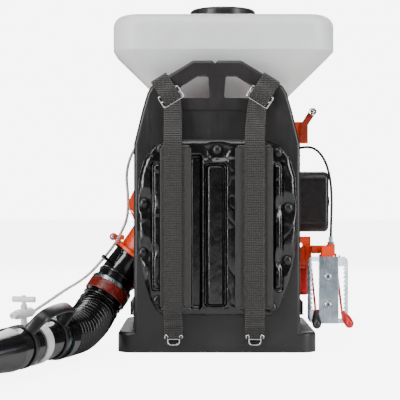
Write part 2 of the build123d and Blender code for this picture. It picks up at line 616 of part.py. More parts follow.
def make_starter():
    """Flywheel, recoil starter and its pull handle."""
    rim_y = FLYWHEEL_Y + FLYWHEEL_W
    flywheel = rod_y(FLYWHEEL_Y, rim_y, 0, FAN_Z, FLYWHEEL_R)
    flywheel -= rod_y(FLYWHEEL_Y + 8, rim_y + 1, 0, FAN_Z, FLYWHEEL_R - 10)
    flywheel += rod_y(FLYWHEEL_Y, rim_y, 0, FAN_Z, 20)
    vane_count = 12
    for i in range(vane_count):
        vane = block(FLYWHEEL_R - 8, FLYWHEEL_R - 2, rim_y - 2, rim_y + 6, -1.5, 1.5)
        flywheel += Pos(0, 0, FAN_Z) * Rot(0, 360 * i / vane_count, 0) * vane
    flywheel -= rod_y(FLYWHEEL_Y - 1, rim_y + 7, 0, FAN_Z, SHAFT_R)

    wall = STARTER_WALL
    case = rod_y(STARTER_Y0, STARTER_Y1, 0, FAN_Z, STARTER_R)
    case = fillet(case.edges().filter_by_position(Axis.Y, STARTER_Y1, STARTER_Y1), 10)
    case -= rod_y(STARTER_Y0 + wall, STARTER_Y1 - wall, 0, FAN_Z, STARTER_R - wall)
    case -= rod_y(STARTER_Y0 - 1, STARTER_Y0 + wall + 1, 0, FAN_Z, 34)
    rope_z = FAN_Z + PULLEY_R
    pulley_y = STARTER_Y1 - 22
    case += block(50, 76, pulley_y - 9, pulley_y + 9, rope_z - 10, rope_z + 10)
    case -= block(40, 68, pulley_y - 7, pulley_y + 7, rope_z - 8, rope_z + 8)
    case -= rod_x(60, 77, pulley_y, rope_z, 4)
    case += rod_y(STARTER_Y1 - 34, STARTER_Y1 - 2, 0, FAN_Z, 6)
    for i in range(10):
        slot = block(24, 54, STARTER_Y1 - 5, STARTER_Y1 + 1, -3, 3)
        case -= Pos(0, 0, FAN_Z) * Rot(0, 36 * i + 18, 0) * slot

    y0 = pulley_y - PULLEY_W / 2
    pulley = rod_y(y0, y0 + PULLEY_W, 0, FAN_Z, PULLEY_R + 6)
    pulley -= pipe((0, y0 + 4, FAN_Z), (0, 1, 0), PULLEY_R + 7, PULLEY_R - 2, PULLEY_W - 8)
    pulley -= rod_y(y0 - 1, y0 + PULLEY_W + 1, 0, FAN_Z, 6 + RUN_GAP)

    handle = rod_z(rope_z - 40, rope_z + 40, 92, pulley_y, 10)
    handle = fillet(handle.edges(), 4)
    handle += rod_x(77, 92, pulley_y, rope_z, 7)
    handle -= rod_x(76, 96, pulley_y, rope_z, ROPE_R)
    rope = rod_x(62, 96, pulley_y, rope_z, ROPE_R)
    return {
        "flywheel": flywheel,
        "starter_case": case,
        "starter_pulley": pulley,
        "starter_handle": handle,
        "starter_rope": rope,
    }


def make_fuel():
    cx, cy = FUEL_CAP_AT
    seat_z = CRADLE_Z + CRADLE_T
    low_z = CRADLE_Z + CRADLE_WALL_H + 4
    x0, x1, y0, y1 = FUEL_BOX
    tank = block(x0, x1, y0, y1, low_z, FUEL_TOP_Z)
    tank = fillet(tank.edges(), 14)
    for y in (y0 + 5, y1 - 26):
        tank += block(x0 + 20, x1 - 46, y - 4, y + 4, seat_z, low_z + 3)
    tank += rod_z(FUEL_TOP_Z - 5, FUEL_TOP_Z + 12, cx, cy, FUEL_NECK_R)
    wall = FUEL_WALL
    inside = block(x0 + wall, x1 - wall, y0 + wall, y1 - wall, low_z + wall, FUEL_TOP_Z - wall)
    tank -= fillet(inside.edges(), 14 - wall)
    tank -= rod_z(FUEL_TOP_Z - 6, FUEL_TOP_Z + 13, cx, cy, FUEL_NECK_R - wall)
    cap = rod_z(FUEL_TOP_Z + 2, FUEL_TOP_Z + 20, cx, cy, FUEL_NECK_R + 7)
    cap = fillet(cap.edges().filter_by_position(Axis.Z, FUEL_TOP_Z + 20, FUEL_TOP_Z + 20), 4)
    cap -= rod_z(FUEL_TOP_Z + 1, FUEL_TOP_Z + 12 + MOVE_GAP, cx, cy, FUEL_NECK_R + MOVE_GAP)
    for i in range(12):
        groove = Pos(cx, cy, FUEL_TOP_Z + 8) * Rot(0, 0, 30 * i)
        cap -= groove * Pos(FUEL_NECK_R + 7.5, 0, 0) * Box(3, 4, 14)
    return {"fuel_tank": tank, "fuel_cap": cap}


# ---- tank and gate --------------------------------------------------------------------------
def tank_section(z, half_w, half_d, corner):
    plane = Plane(origin=(TANK_X, TANK_Y, z))
    return plane * RectangleRounded(2 * half_w, 2 * half_d, corner)


def tank_solid(wall):
    """The tank's shape, drawn in by wall on every side."""
    foot = tank_section(TANK_FOOT_Z + wall, 100 - wall, 62 - wall, 30)
    edge = tank_section(TANK_EDGE_Z, TANK_HALF_W - wall, TANK_HALF_D - wall, 60)
    funnel = loft([foot, edge])
    box = extrude(edge, TANK_TOP_Z - TANK_EDGE_Z - wall)
    top = box.edges().filter_by_position(Axis.Z, TANK_TOP_Z - wall, TANK_TOP_Z - wall)
    return funnel + fillet(top, 26 - wall)


def make_tank():
    lip_z = TANK_TOP_Z + 14
    tank = tank_solid(0) + rod_z(TANK_TOP_Z - 12, lip_z, TANK_X, TANK_Y, NECK_R)
    tank -= tank_solid(TANK_WALL)
    tank -= rod_z(TANK_TOP_Z - 20, lip_z + 1, TANK_X, TANK_Y, NECK_R - TANK_WALL)
    tank -= rod_z(TANK_FOOT_Z - 1, TANK_FOOT_Z + 5, TANK_X, TANK_Y, 34)
    lid = rod_z(TANK_TOP_Z + 2, lip_z + 8, TANK_X, TANK_Y, NECK_R + 9)
    lid = fillet(lid.edges().filter_by_position(Axis.Z, lip_z + 8, lip_z + 8), 6)
    lid -= rod_z(TANK_TOP_Z + 1, lip_z + MOVE_GAP, TANK_X, TANK_Y, NECK_R + MOVE_GAP)
    for i in range(18):
        groove = Pos(TANK_X, TANK_Y, TANK_TOP_Z + 9) * Rot(0, 0, 20 * i)
        lid -= groove * Pos(NECK_R + 10, 0, 0) * Box(5, 6, 15)
    strainer = pipe((TANK_X, TANK_Y, TANK_TOP_Z - 46), (0, 0, 1), NECK_R - 8, NECK_R - 10, 56)
    strainer += rod_z(TANK_TOP_Z - 46, TANK_TOP_Z - 44, TANK_X, TANK_Y, NECK_R - 10)
    strainer += pipe((TANK_X, TANK_Y, lip_z - 4), (0, 0, 1), NECK_R - TANK_WALL, NECK_R - 10, 3)
    for i in range(24):
        slot = Pos(TANK_X, TANK_Y, TANK_TOP_Z - 24) * Rot(0, 0, 15 * i)
        strainer -= slot * Pos(NECK_R - 9, 0, 0) * Box(6, 4, 26)
    return {
        "chemical_tank": tank,
        "tank_lid": lid,
        "tank_strainer": strainer,
    }


def make_gate():
    """The housing under the tank that meters what leaves it, and the rocker that works it."""
    rx, ry, rz = ROCKER_AT
    housing = block(-78, 108, TANK_Y - 48, TANK_Y + 48, GATE_Z0, GATE_Z1)
    housing = fillet(housing.edges().filter_by(Axis.Z), 18)
    housing -= rod_z(GATE_Z0 + 8, GATE_Z1 + 1, TANK_X, TANK_Y, 34)
    housing += block(90, 196, ry + 5, ry + 17, rz - 12, rz + 34)
    housing += block(90, 108, ry + 5, TANK_Y, rz - 4, rz + 34)
    for x in (-52, 80):
        housing += block(x - 8, x + 8, TANK_Y - 46, CASE_REAR_Y - 4, FAN_Z + 150, GATE_Z0 + 10)
    housing -= slab_xz(volute_face(), CASE_FRONT_Y, CASE_REAR_Y)
    housing -= slab_xz(volute_face(RIM_OUT), CASE_SPLIT_Y - 5, CASE_SPLIT_Y + 5)
    housing -= rod_y(ry, ry + 20, rx, rz, 4 + RUN_GAP)
    housing += rod(LIQUID_OUTLET_AT, LIQUID_OUTLET_WAY, 6, 22)
    housing += rod(LIQUID_OUTLET_AT + Vector(2, 0, 0), LIQUID_OUTLET_WAY, 9, 8)
    housing -= rod(LIQUID_OUTLET_AT - LIQUID_OUTLET_WAY * 19, LIQUID_OUTLET_WAY, 2, 60)

    arm_line = Polyline((rx, rz), (rx + 2, rz + 28), (rx + 20, rz + 56))
    arm = slab_xz(make_face(offset(arm_line, 7, side=Side.BOTH, closed=True).edges()), ry, ry + 4)
    arm += rod_y(ry - 3, ry, rx, rz, 8)
    arm += rod_y(ry - 3, ry + 16, rx, rz, 4)
    arm -= rod_y(ry - 1, ry + 5, rx + 20, rz + 56, 3)
    pin = bolt((rx + 20, ry, rz + 56), (0, 1, 0), 3, 10, 7, 5)
    return {
        "gate_housing": housing,
        "gate_rocker": Compound([arm, pin]),
    }


# ---- levers ---------------------------------------------------------------------------------
def toothed_slot(x_plain, x_tooth, z0, z1):
    """A slot whose edge at x_tooth is cut into teeth."""
    way = 1 if x_tooth > x_plain else -1
    pitch = 9.0
    count = round((z1 - z0) / pitch)
    pitch = (z1 - z0) / count
    points = [(x_plain, z0), (x_plain, z1)]
    for i in range(count):
        z = z1 - i * pitch
        points += [(x_tooth, z), (x_tooth - way * 4, z - 0.7 * pitch), (x_tooth, z - 0.9 * pitch)]
    points.append((x_tooth, z0))
    return outline(points)


def make_bracket():
    """A zinc-plated plate with a flange bent back on each side, both slotted for a lever."""
    y = BRACKET_Y
    t = BRACKET_T
    plan = [
        (FACE_X0, y), (FACE_X1, y), (BRACKET_X1, y + FLANGE_BACK), (BRACKET_X1, y + FLANGE_BACK + t),
        (FACE_X1, y + t), (FACE_X0, y + t), (BRACKET_X0, y + FLANGE_BACK + t),
        (BRACKET_X0, y + FLANGE_BACK),
    ]
    height = BRACKET_Z1 - BRACKET_Z0
    sheet = extrude(Pos(0, 0, BRACKET_Z0) * make_face(Polyline(*plan, close=True)), height)
    width = BRACKET_X1 - BRACKET_X0
    centre = ((BRACKET_X0 + BRACKET_X1) / 2, (BRACKET_Z0 + BRACKET_Z1) / 2)
    sheet &= slab_xz(Pos(*centre) * RectangleRounded(width, height, 12), y - 5, y + 30)
    sheet -= slab_xz(toothed_slot(FACE_X0 - 1, 195, 87, 186), y - 5, y + 30)
    sheet -= slab_xz(toothed_slot(FACE_X1 + 1, 265, 68, 176), y - 5, y + 30)
    for z in BRACKET_SCREW_ZS:
        sheet -= rod_y(y - 1, y + 4, BRACKET_SCREW_X, z, 3 + HOLE_GAP)
    return sheet


def make_lever_arm():
    """The moulded arm that carries the bracket, the lever pivot and the end of the cable."""
    py, pz = LEVER_PIVOT
    back = CASE_SPLIT_Y - 16
    arm = block(199, 246, back - 30, back, LEVER_CLEAR_Z, 217)
    arm += block(188, 199, back - 12, back, 186, 217)
    arm += block(217, 241, ARM_Y0, ARM_Y0 + 8, 84, 217)
    arm += block(221, 237, ARM_Y0 + 4, back, LEVER_CLEAR_Z, 214)
    arm += block(226, 234, back - 4, py + 10, pz - 10, 210)
    arm += rod_x(222, 238, py, pz, 10)
    arm += rod_z(196, 220, CABLE_AT[0], CABLE_AT[1], 9)
    arm -= rod_x(200, 250, py, pz, LEVER_PIN_R)
    arm -= rod_z(190, 225, CABLE_AT[0], CABLE_AT[1], 4.5)
    for z in BRACKET_SCREW_ZS:
        arm -= rod_y(ARM_Y0 - 1, ARM_Y0 + 9, BRACKET_SCREW_X, z, 3 + HOLE_GAP)
    return arm


def lever_blank(kind):
    """One lever, straight from the pivot through its slot to the knob."""
    py, pz = LEVER_PIVOT
    x = LEVER_X[kind]
    slope = math.radians(LEVER_SLOPE)
    ahead = Vector(0, -math.cos(slope), -math.sin(slope))
    pivot = Vector(x, py, pz)
    strip_len = 122.0
    strip = Pos(x, 0, 0) * block(-LEVER_T / 2, LEVER_T / 2, -strip_len, 0, -6, 6)
    strip = Pos(0, py, pz) * Rot(LEVER_SLOPE, 0, 0) * strip
    blade = strip + rod_x(x - LEVER_T / 2, x + LEVER_T / 2, py, pz, 12)
    blade -= rod_x(x - 5, x + 5, py, pz, LEVER_PIN_R + RUN_GAP)
    lean = Vector(0.34 if kind == "throttle" else 0.0, 0, 0)
    out = (ahead + lean).normalized()
    stem_at = pivot + ahead * (strip_len - 10)
    bend_at = pivot + ahead * 154
    stem = rod(stem_at, ahead, STEM_R, 154 - strip_len + 10)
    stem += Pos(*bend_at) * Sphere(STEM_R)
    stem += rod(bend_at, out, STEM_R, 26)
    knob_at = bend_at + out * 8
    knob = rod(knob_at, out, 7, 40)
    knob = fillet(knob.edges(), 3)
    knob += rod(knob_at - out * 5, out, 5, 8)
    knob -= rod(bend_at, out, STEM_R, 26)
    knob -= Pos(*bend_at) * Sphere(STEM_R)
    return {f"{kind}_lever": blade + stem, f"{kind}_lever_knob": knob}


def make_levers():
    py, pz = LEVER_PIVOT
    nodes = {"lever_bracket": make_bracket(), "lever_arm": make_lever_arm()}
    for kind in LEVER_X:
        nodes.update(lever_blank(kind))
    pin = rod_x(197, 264, py, pz, LEVER_PIN_R)
    for start in (194, 264):
        pin += rod_x(start, start + 3, py, pz, 8)
    nodes["lever_pivot_pin"] = pin
    screws = []
    for z in BRACKET_SCREW_ZS:
        screw = bolt((BRACKET_SCREW_X, BRACKET_Y, z), (0, 1, 0), 3, 12, 7.5, 3.5)
        for turn in (45, 135):
            cut = Rot(0, turn, 0) * Box(8, 3, 1.6)
            screw -= Pos(BRACKET_SCREW_X, BRACKET_Y - 3.5, z) * cut
        screws.append(screw)
    nodes["bracket_screws"] = Compound(screws)
    cx, cy = CABLE_AT
    ferrule = rod_z(188, 236, cx, cy, 4.5)
    ferrule += extrude(Pos(cx, cy, 220) * RegularPolygon(7, 6), 5)
    nodes["cable_ferrule"] = ferrule - rod_z(222, 237, cx, cy, CABLE_R + 0.8)
    return nodes


def make_throttle_cable():
    carb_mid = (CARB_X0 + CARB_X1) / 2
    cx, cy = CABLE_AT
    points = [
        (cx, cy, 224), (cx + 1, cy + 1, 268), (cx + 3, cy + 5, 316), (cx + 1, cy + 18, 362),
        (cx - 9, cy + 40, 402), (cx - 30, cy + 68, 428), (cx - 62, cy + 92, 426),
        (cx - 98, cy + 108, 410), (carb_mid + 20, ENGINE_Y - 6, 394),
        (carb_mid + 3, ENGINE_Y - 1, 374), (carb_mid, ENGINE_Y, CARB_TOP_Z + 3),
    ]
    return cord("throttle_cable", points, CABLE_R)


# ---- elbow, hose and blowing pipe -----------------------------------------------------------
def hose_points():
    """The hose's centre line, from the elbow down to the blowing pipe on the floor."""
    first = HOSE_START
    second = ELBOW_END + ELBOW_EXIT_DIR * 46
    fifth = WAND_START
    fourth = fifth - WAND_DIR * 68
    third = (second + fourth) * 0.5 + Vector(1.5, 3.0, -9.0)
    return [first, second, third, fourth, fifth - WAND_DIR * 0.6]


def tube_along(points, outer, inner):
    """A round hollow tube along straight runs joined by tangent arcs."""
    path = FilletPolyline(*points, radius=cord_radii(points))
    plane = Plane(origin=points[0], z_dir=points[1] - points[0])
    return sweep(plane * Circle(outer), path=path) - sweep(plane * Circle(inner), path=path)


def make_elbow():
    bend = [OUTLET_AT + OUTLET_DIR, ELBOW_CORNER, ELBOW_END]
    elbow = tube_along(bend, ELBOW_OUT_R, ELBOW_IN_R)
    elbow += pipe(OUTLET_AT + OUTLET_DIR, OUTLET_DIR, ELBOW_OUT_R + 5, ELBOW_IN_R, 5)
    axis_point = OUTLET_AT + OUTLET_DIR * (CLIP_AT - OUTLET_AT).dot(OUTLET_DIR)
    clip_root = axis_point + (CLIP_AT - axis_point).normalized() * (ELBOW_OUT_R - 1.5)
    elbow += rod(clip_root, CLIP_AT - clip_root, 3.2, (CLIP_AT - clip_root).length)
    elbow += rod(CLIP_AT - CLIP_WAY * 3, CLIP_WAY, LINE_R + 3.5, 6)
    elbow -= rod(CLIP_AT - CLIP_WAY * 8, CLIP_WAY, LINE_R + 1.0, 16)
    way = ELBOW_EXIT_DIR
    band_at = HOSE_START + way * 3
    clamp = pipe(band_at, way, HOSE_R + 2, HOSE_R, 12)
    lug_way = way.cross(Vector(0, 0, 1)).normalized()
    clamp += rod(band_at + way * 6 + lug_way * (HOSE_R + 4) - Vector(0, 0, 9), (0, 0, 1), 4, 18)
    return {"elbow": elbow, "hose_clamp_upper": clamp}


def make_hose():
    return tube_along(hose_points(), HOSE_R, ELBOW_OUT_R)


def wand_plane(distance):
    """A section plane across the blowing pipe, with local x level to the wearer's left."""
    return Plane(origin=WAND_START + WAND_DIR * distance, x_dir=WAND_SIDE, z_dir=WAND_DIR)


def make_wand():
    """The blowing pipe: hand tube, grip, nozzle, and the valve that meters the liquid."""
    start = WAND_START
    tube = pipe(start - WAND_DIR * 24, WAND_DIR, WAND_TUBE_R, WAND_TUBE_R - WAND_WALL,
                HAND_TUBE_LEN + 24)
    tube += pipe(start, WAND_DIR, HOSE_R, WAND_TUBE_R - 1, 14)
    clamp_at = start + WAND_DIR * 16
    clamp = pipe(clamp_at, WAND_DIR, WAND_TUBE_R + 2, WAND_TUBE_R, 12)
    up = Vector(0, 0, 1)
    clamp += rod(clamp_at + WAND_DIR * 6 + up * (WAND_TUBE_R + 4) - WAND_SIDE * 9,
                 WAND_SIDE, 4, 18)

    neck_at = start + WAND_DIR * (HAND_TUBE_LEN - 20)
    wide, narrow = WAND_TUBE_R + WAND_WALL, WAND_TUBE_R - 6
    nozzle = pipe(neck_at, WAND_DIR, wide, WAND_TUBE_R, 24)
    socket = wand_plane(HAND_TUBE_LEN + 4)
    throat = wand_plane(HAND_TUBE_LEN + 0.55 * NOZZLE_LEN)
    mouth = wand_plane(HAND_TUBE_LEN + NOZZLE_LEN)
    outer = loft([socket * Circle(wide), throat * Circle(narrow)])
    outer += loft([throat * Circle(narrow), mouth * Circle(NOZZLE_END_R)])
    inner = loft([socket * Circle(WAND_TUBE_R), throat * Circle(narrow - WAND_WALL)])
    inner += loft([throat * Circle(narrow - WAND_WALL), mouth * Circle(NOZZLE_END_R - WAND_WALL)])
    nozzle += outer - inner

    lean = math.radians(GRIP_LEAN)
    rise = up * math.cos(lean) + WAND_SIDE * math.sin(lean)
    a, b = start + WAND_DIR * 34, start + WAND_DIR * 176
    path = [a + rise * (WAND_TUBE_R - 1), a + rise * GRIP_REACH + WAND_DIR * 12,
            b + rise * GRIP_REACH - WAND_DIR * 24, b + rise * (WAND_TUBE_R - 1)]
    line = FilletPolyline(*path, radius=[22, 26])
    section = Plane(origin=path[0], z_dir=path[1] - path[0], x_dir=WAND_DIR.cross(rise))
    grip = sweep(section * RectangleRounded(24, 11, 4), path=line)
    grip += pipe(start + WAND_DIR * 30, WAND_DIR, WAND_TUBE_R + 3, WAND_TUBE_R, 14)
    grip += pipe(start + WAND_DIR * 164, WAND_DIR, WAND_TUBE_R + 3, WAND_TUBE_R, 16)
    grip -= rod(start, WAND_DIR, WAND_TUBE_R, HAND_TUBE_LEN)
    return {
        "hand_tube": tube,
        "hose_clamp_lower": clamp,
        "blow_nozzle": nozzle,
        "hand_grip": grip,
    }


def valve_frame():
    """Where the liquid valve's axis starts, on the far side of the grip."""
    lift = Vector(0, 0, 1) * VALVE_LIFT + WAND_SIDE * VALVE_SIDE
    return WAND_START + WAND_DIR * 92 + lift


def make_valve():
    at = valve_frame()
    way = WAND_DIR
    up = Vector(0, 0, 1)
    body = rod(at, way, 9, 58)
    body += rod(at - way * 14, way, 5, 14)
    body += rod(at + way * 58, way, 6, 18)
    body += rod(at + way * 28 - up * 20, up, 6, 36)
    body -= rod(at - way * 15, way, 2, 100)
    body -= rod(at + way * 28 - up * 10, up, 4 + RUN_GAP, 40)
    body -= rod(WAND_START, way, WAND_TUBE_R, HAND_TUBE_LEN)
    tap = rod(at + way * 28 - up * 9.5, up, 4, 36)
    bar_at = at + way * 28 + up * 26
    tap += rod(bar_at - WAND_SIDE * 22, WAND_SIDE, 5.5, 44)
    screw = bolt(at + way * 28 + up * 31.4 + up * 0.1, (0, 0, -1), 1.5, 6, 3.5, 2)
    tap -= rod(at + way * 28 + up * 24, up, 1.5, 12)
    saddle = pipe(WAND_START + way * 102, way, WAND_TUBE_R + 3, WAND_TUBE_R, 26)
    body += saddle
    return {"valve_body": body, "valve_tap": Compound([tap, screw])}


def make_liquid_tubes():
    clip = CLIP_AT
    outlet_end = LIQUID_OUTLET_AT + LIQUID_OUTLET_WAY * 23
    upper = [
        outlet_end, (-146, -36, 452), (-178, -54, 420), (-192, -70, 370), (-186, -78, 320),
        (-187, -86, 274), (-201, -90, 243), clip - CLIP_WAY * 32, clip,
    ]
    at = valve_frame()
    inlet = at - WAND_DIR * 14
    lower = [
        clip, clip + CLIP_WAY * 30, (-266, -140, 158), (-281, -190, 147), (-299, -240, 137),
        inlet - WAND_DIR * 46 + Vector(2, 0, 10), inlet - WAND_DIR * 1.2,
    ]
    return {
        "liquid_tube_upper": cord("liquid_tube_upper", upper, LINE_R),
        "liquid_tube_lower": cord("liquid_tube_lower", lower, LINE_R),
    }


# ---- soft parts and their hardware ----------------------------------------------------------
def pad_outline():
    """The back pad: cut top corners and sides that draw in towards the bottom."""
    half, top, low = PAD_HALF_W, PAD_TOP_Z, PAD_BOTTOM_Z
    right = [(half - 40, top), (half - 2, top - 56), (half, top - 180), (half - 42, low)]
    left = [(-x, z) for x, z in reversed(right)]
    return outline(right + left, 10)


def make_back_pad():
    y1 = PANEL_FACE_Y
    pad = slab_xz(pad_outline(), y1 - PAD_T, y1)
    pad = fillet(pad.edges().filter_by_position(Axis.Y, y1 - PAD_T, y1 - PAD_T), 8)
    for x0, x1 in ((-58, -28), (26, 52)):
        pad -= block(x0, x1, y1 - PAD_T - 1, y1 - 8, 112, 388)
    rivets = []
    for x, z in RIVETS:
        pad -= rod_y(y1 - PAD_T - 1, y1 - 9, x, z, 12)
        pad -= rod_y(y1 - 10, y1 + 1, x, z, 3)
        stud = rod_y(y1 - 9, y1, x, z, 3) + rod_y(y1 - 13, y1 - 9, x, z, 10)
        top_edge = stud.edges().filter_by_position(Axis.Y, y1 - 13, y1 - 13)
        rivets.append(fillet(top_edge, 3))
    return {"back_pad": pad, "pad_rivets": Compound(rivets)}


def make_straps():
    """Shoulder pads, the webbing above and below them, and the metal that holds the webbing."""
    pads, webbing, hardware = [], [], []
    pad_y1 = PANEL_FACE_Y - PAD_T - SOFT_GAP
    pad_y0 = pad_y1 - SHOULDER_T
    for side, x in STRAP_X.items():
        way = -1 if side == "left" else 1
        body = block(*SHOULDER_X[side], pad_y0, pad_y1, SHOULDER_BOTTOM_Z, SHOULDER_TOP_Z)
        pads.append(fillet(body.edges(), 6))

        wrap_x = way * 106.0
        half = STRAP_W / 2
        front = PANEL_FACE_Y - 2.5
        rear = PANEL_FACE_Y + PANEL_DEPTH + 1.0
        loop_z0, loop_z1 = PANEL_TOP_Z - 62, PANEL_TOP_Z - 27
        loop = block(wrap_x - 17, wrap_x + 17, front - WEB_T, rear + WEB_T, loop_z0, loop_z1)
        loop &= slab_xz(offset(panel_outline(), 1.0 + WEB_T), front - WEB_T - 1, rear + WEB_T + 1)
        keep = slab_xz(offset(panel_outline(), 1.0), front, rear)
        loop -= keep
        loop -= slab_xz(offset(handle_opening(way), -3), front - 5, rear + 5)
        z1 = PANEL_TOP_Z - 58
        reach = pad_y0 - 0.5
        knee_z = z1 - 46
        runs = outline([
            (front, z1 + 8), (front - WEB_T, z1 + 8), (front - WEB_T, knee_z),
            (reach - WEB_T, SHOULDER_TOP_Z + 12), (reach - WEB_T, SHOULDER_TOP_Z - 60),
            (reach, SHOULDER_TOP_Z - 60), (reach, SHOULDER_TOP_Z + 10), (front, knee_z + 1),
        ])
        webbing.append(loop + slab_yz(runs, x - half, x + half))

        low_y = PANEL_FACE_Y - 6.0
        low = outline([
            (pad_y0 - 0.5, SHOULDER_BOTTOM_Z + 30), (pad_y0 - 0.5 - WEB_T, SHOULDER_BOTTOM_Z + 30),
            (pad_y0 - 0.5 - WEB_T, SHOULDER_BOTTOM_Z - 6), (low_y - WEB_T, 40), (low_y, 40),
            (pad_y0 - 0.5, SHOULDER_BOTTOM_Z - 4),
        ])
        webbing.append(slab_yz(low, x - half, x + half))

        slider_z = PANEL_TOP_Z - 71
        frame_y = front - WEB_T - 2.5
        ring = Pos(x + way * 6, frame_y, slider_z) * Rot(0, way * 40, 0)
        bar = Box(56, 3, 30) - Box(50, 5, 8.5) - Pos(0, 0, 9.5) * Box(50, 5, 5)
        bar -= Pos(0, 0, -9.5) * Box(50, 5, 5)
        hardware.append(ring * bar)

        hook_path = FilletPolyline(
            Vector(x - 12, low_y - 1, 37), Vector(x - 12, low_y - 1, 18),
            Vector(x + 12, low_y - 1, 18), Vector(x + 12, low_y - 1, 37), radius=[6, 6])
        plane = Plane(origin=(x - 12, low_y - 1, 37), z_dir=(0, 0, -1))
        hardware.append(sweep(plane * Circle(1.6), path=hook_path)
                        + rod_x(x - 13.5, x + 13.5, low_y - 1, 37, 1.6))
    return {
        "shoulder_pads": Compound(pads),
        "strap_webbing": Compound(webbing),
        "strap_hardware": Compound(hardware),
    }


def main():
    nodes = {"pack_frame": make_pack_frame(), "fan_wheel": make_fan()}
    for group in (
        make_mounting, make_casing, make_engine, make_exhaust, make_intake, make_starter, make_fuel,
        make_tank, make_gate, make_levers, make_elbow, make_wand, make_valve, make_liquid_tubes,
        make_back_pad, make_straps,
    ):
        nodes.update(group())
    nodes["throttle_cable"] = make_throttle_cable()
    nodes["hose"] = make_hose()
    os.makedirs("parts", exist_ok=True)
    for name, shape in nodes.items():
        export_step(shape, f"parts/{name}.step")
    print(len(nodes), "nodes")


main()
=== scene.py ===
"""Looks of a knapsack mist blower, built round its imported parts. Lengths are in metres."""
import math

import bmesh
import bpy
from mathutils import Matrix, Vector, noise


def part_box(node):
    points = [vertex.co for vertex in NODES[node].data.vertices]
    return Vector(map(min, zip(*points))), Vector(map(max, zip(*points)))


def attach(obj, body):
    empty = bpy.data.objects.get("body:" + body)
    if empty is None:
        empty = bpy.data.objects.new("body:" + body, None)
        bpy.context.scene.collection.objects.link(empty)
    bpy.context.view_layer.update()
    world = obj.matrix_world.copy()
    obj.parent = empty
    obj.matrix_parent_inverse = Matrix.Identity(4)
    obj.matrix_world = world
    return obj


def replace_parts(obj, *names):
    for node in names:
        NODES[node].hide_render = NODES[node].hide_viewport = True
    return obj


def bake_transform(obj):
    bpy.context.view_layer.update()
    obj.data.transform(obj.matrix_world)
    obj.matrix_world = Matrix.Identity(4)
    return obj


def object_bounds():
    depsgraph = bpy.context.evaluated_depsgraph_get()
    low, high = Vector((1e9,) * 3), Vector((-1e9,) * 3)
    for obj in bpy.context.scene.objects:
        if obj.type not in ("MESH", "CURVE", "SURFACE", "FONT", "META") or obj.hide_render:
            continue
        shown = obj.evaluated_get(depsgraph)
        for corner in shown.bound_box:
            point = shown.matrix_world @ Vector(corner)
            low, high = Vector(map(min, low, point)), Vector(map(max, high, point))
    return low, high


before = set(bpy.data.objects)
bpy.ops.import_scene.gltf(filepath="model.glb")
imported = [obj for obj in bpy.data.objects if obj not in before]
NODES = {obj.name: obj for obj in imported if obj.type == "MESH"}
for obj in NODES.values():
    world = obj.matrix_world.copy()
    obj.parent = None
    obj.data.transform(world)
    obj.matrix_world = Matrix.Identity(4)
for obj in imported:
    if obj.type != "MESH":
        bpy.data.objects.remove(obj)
cad_low, cad_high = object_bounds()

MM = 0.001
UP = Vector((0, 0, 1))

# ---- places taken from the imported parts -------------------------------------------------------
straps_low, straps_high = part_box("shoulder_pads")
PANEL_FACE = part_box("back_pad")[1].y   # the wearer's face of the back panel
PANEL_DEPTH = 0.032                    # how far its rim reaches back
PAD_X = {"left": (-0.116, -0.053), "right": (0.036, 0.113)}   # each shoulder pad's two sides
FACE = PANEL_FACE / MM                 # the panel's face again, in millimetres


# ---- materials --------------------------------------------------------------------------------
def linear(hex_colour):
    """An sRGB hex colour as the linear one that a shader wants."""
    channels = [int(hex_colour[i:i + 2], 16) / 255 for i in (1, 3, 5)]
    return [c / 12.92 if c <= 0.04045 else ((c + 0.055) / 1.055) ** 2.4 for c in channels] + [1]


def add(tree, kind, settings=None, inputs=None):
    """Adds a node with its own settings, and sets or links its inputs."""
    node = tree.nodes.new(kind)
    for name, value in (settings or {}).items():
        setattr(node, name, value)
    for name, value in (inputs or {}).items():
        if isinstance(value, bpy.types.NodeSocket):
            tree.links.new(value, node.inputs[name])
        else:
            node.inputs[name].default_value = value
    return node


def shader_of(name, colour, roughness, **constants):
    """A new material, its tree and its shader, with what is the same all over set on the shader."""
    material = bpy.data.materials.new(name)
    material.use_nodes = True
    tree = material.node_tree
    shader = tree.nodes["Principled BSDF"]
    shader.inputs["Base Color"].default_value = linear(colour)
    shader.inputs["Roughness"].default_value = roughness
    for socket, value in constants.items():
        shader.inputs[socket.replace("_", " ")].default_value = value
    return material, tree, shader


def pattern(tree, size, detail=3, stretch=(1, 1, 1), ribs=None):
    """Lumps about size metres across or, where ribs names a direction, even ribs that far apart."""
    place = add(tree, "ShaderNodeTexCoord")
    spread = add(tree, "ShaderNodeMapping", None, {
        "Vector": place.outputs["Object"], "Scale": stretch})
    if ribs:
        made = add(tree, "ShaderNodeTexWave", {"bands_direction": ribs}, {
            "Vector": spread.outputs["Vector"], "Scale": math.pi / (10 * size)})
    else:
        made = add(tree, "ShaderNodeTexNoise", None, {
            "Vector": spread.outputs["Vector"], "Scale": 1 / size, "Detail": detail})
    return made.outputs["Fac"]


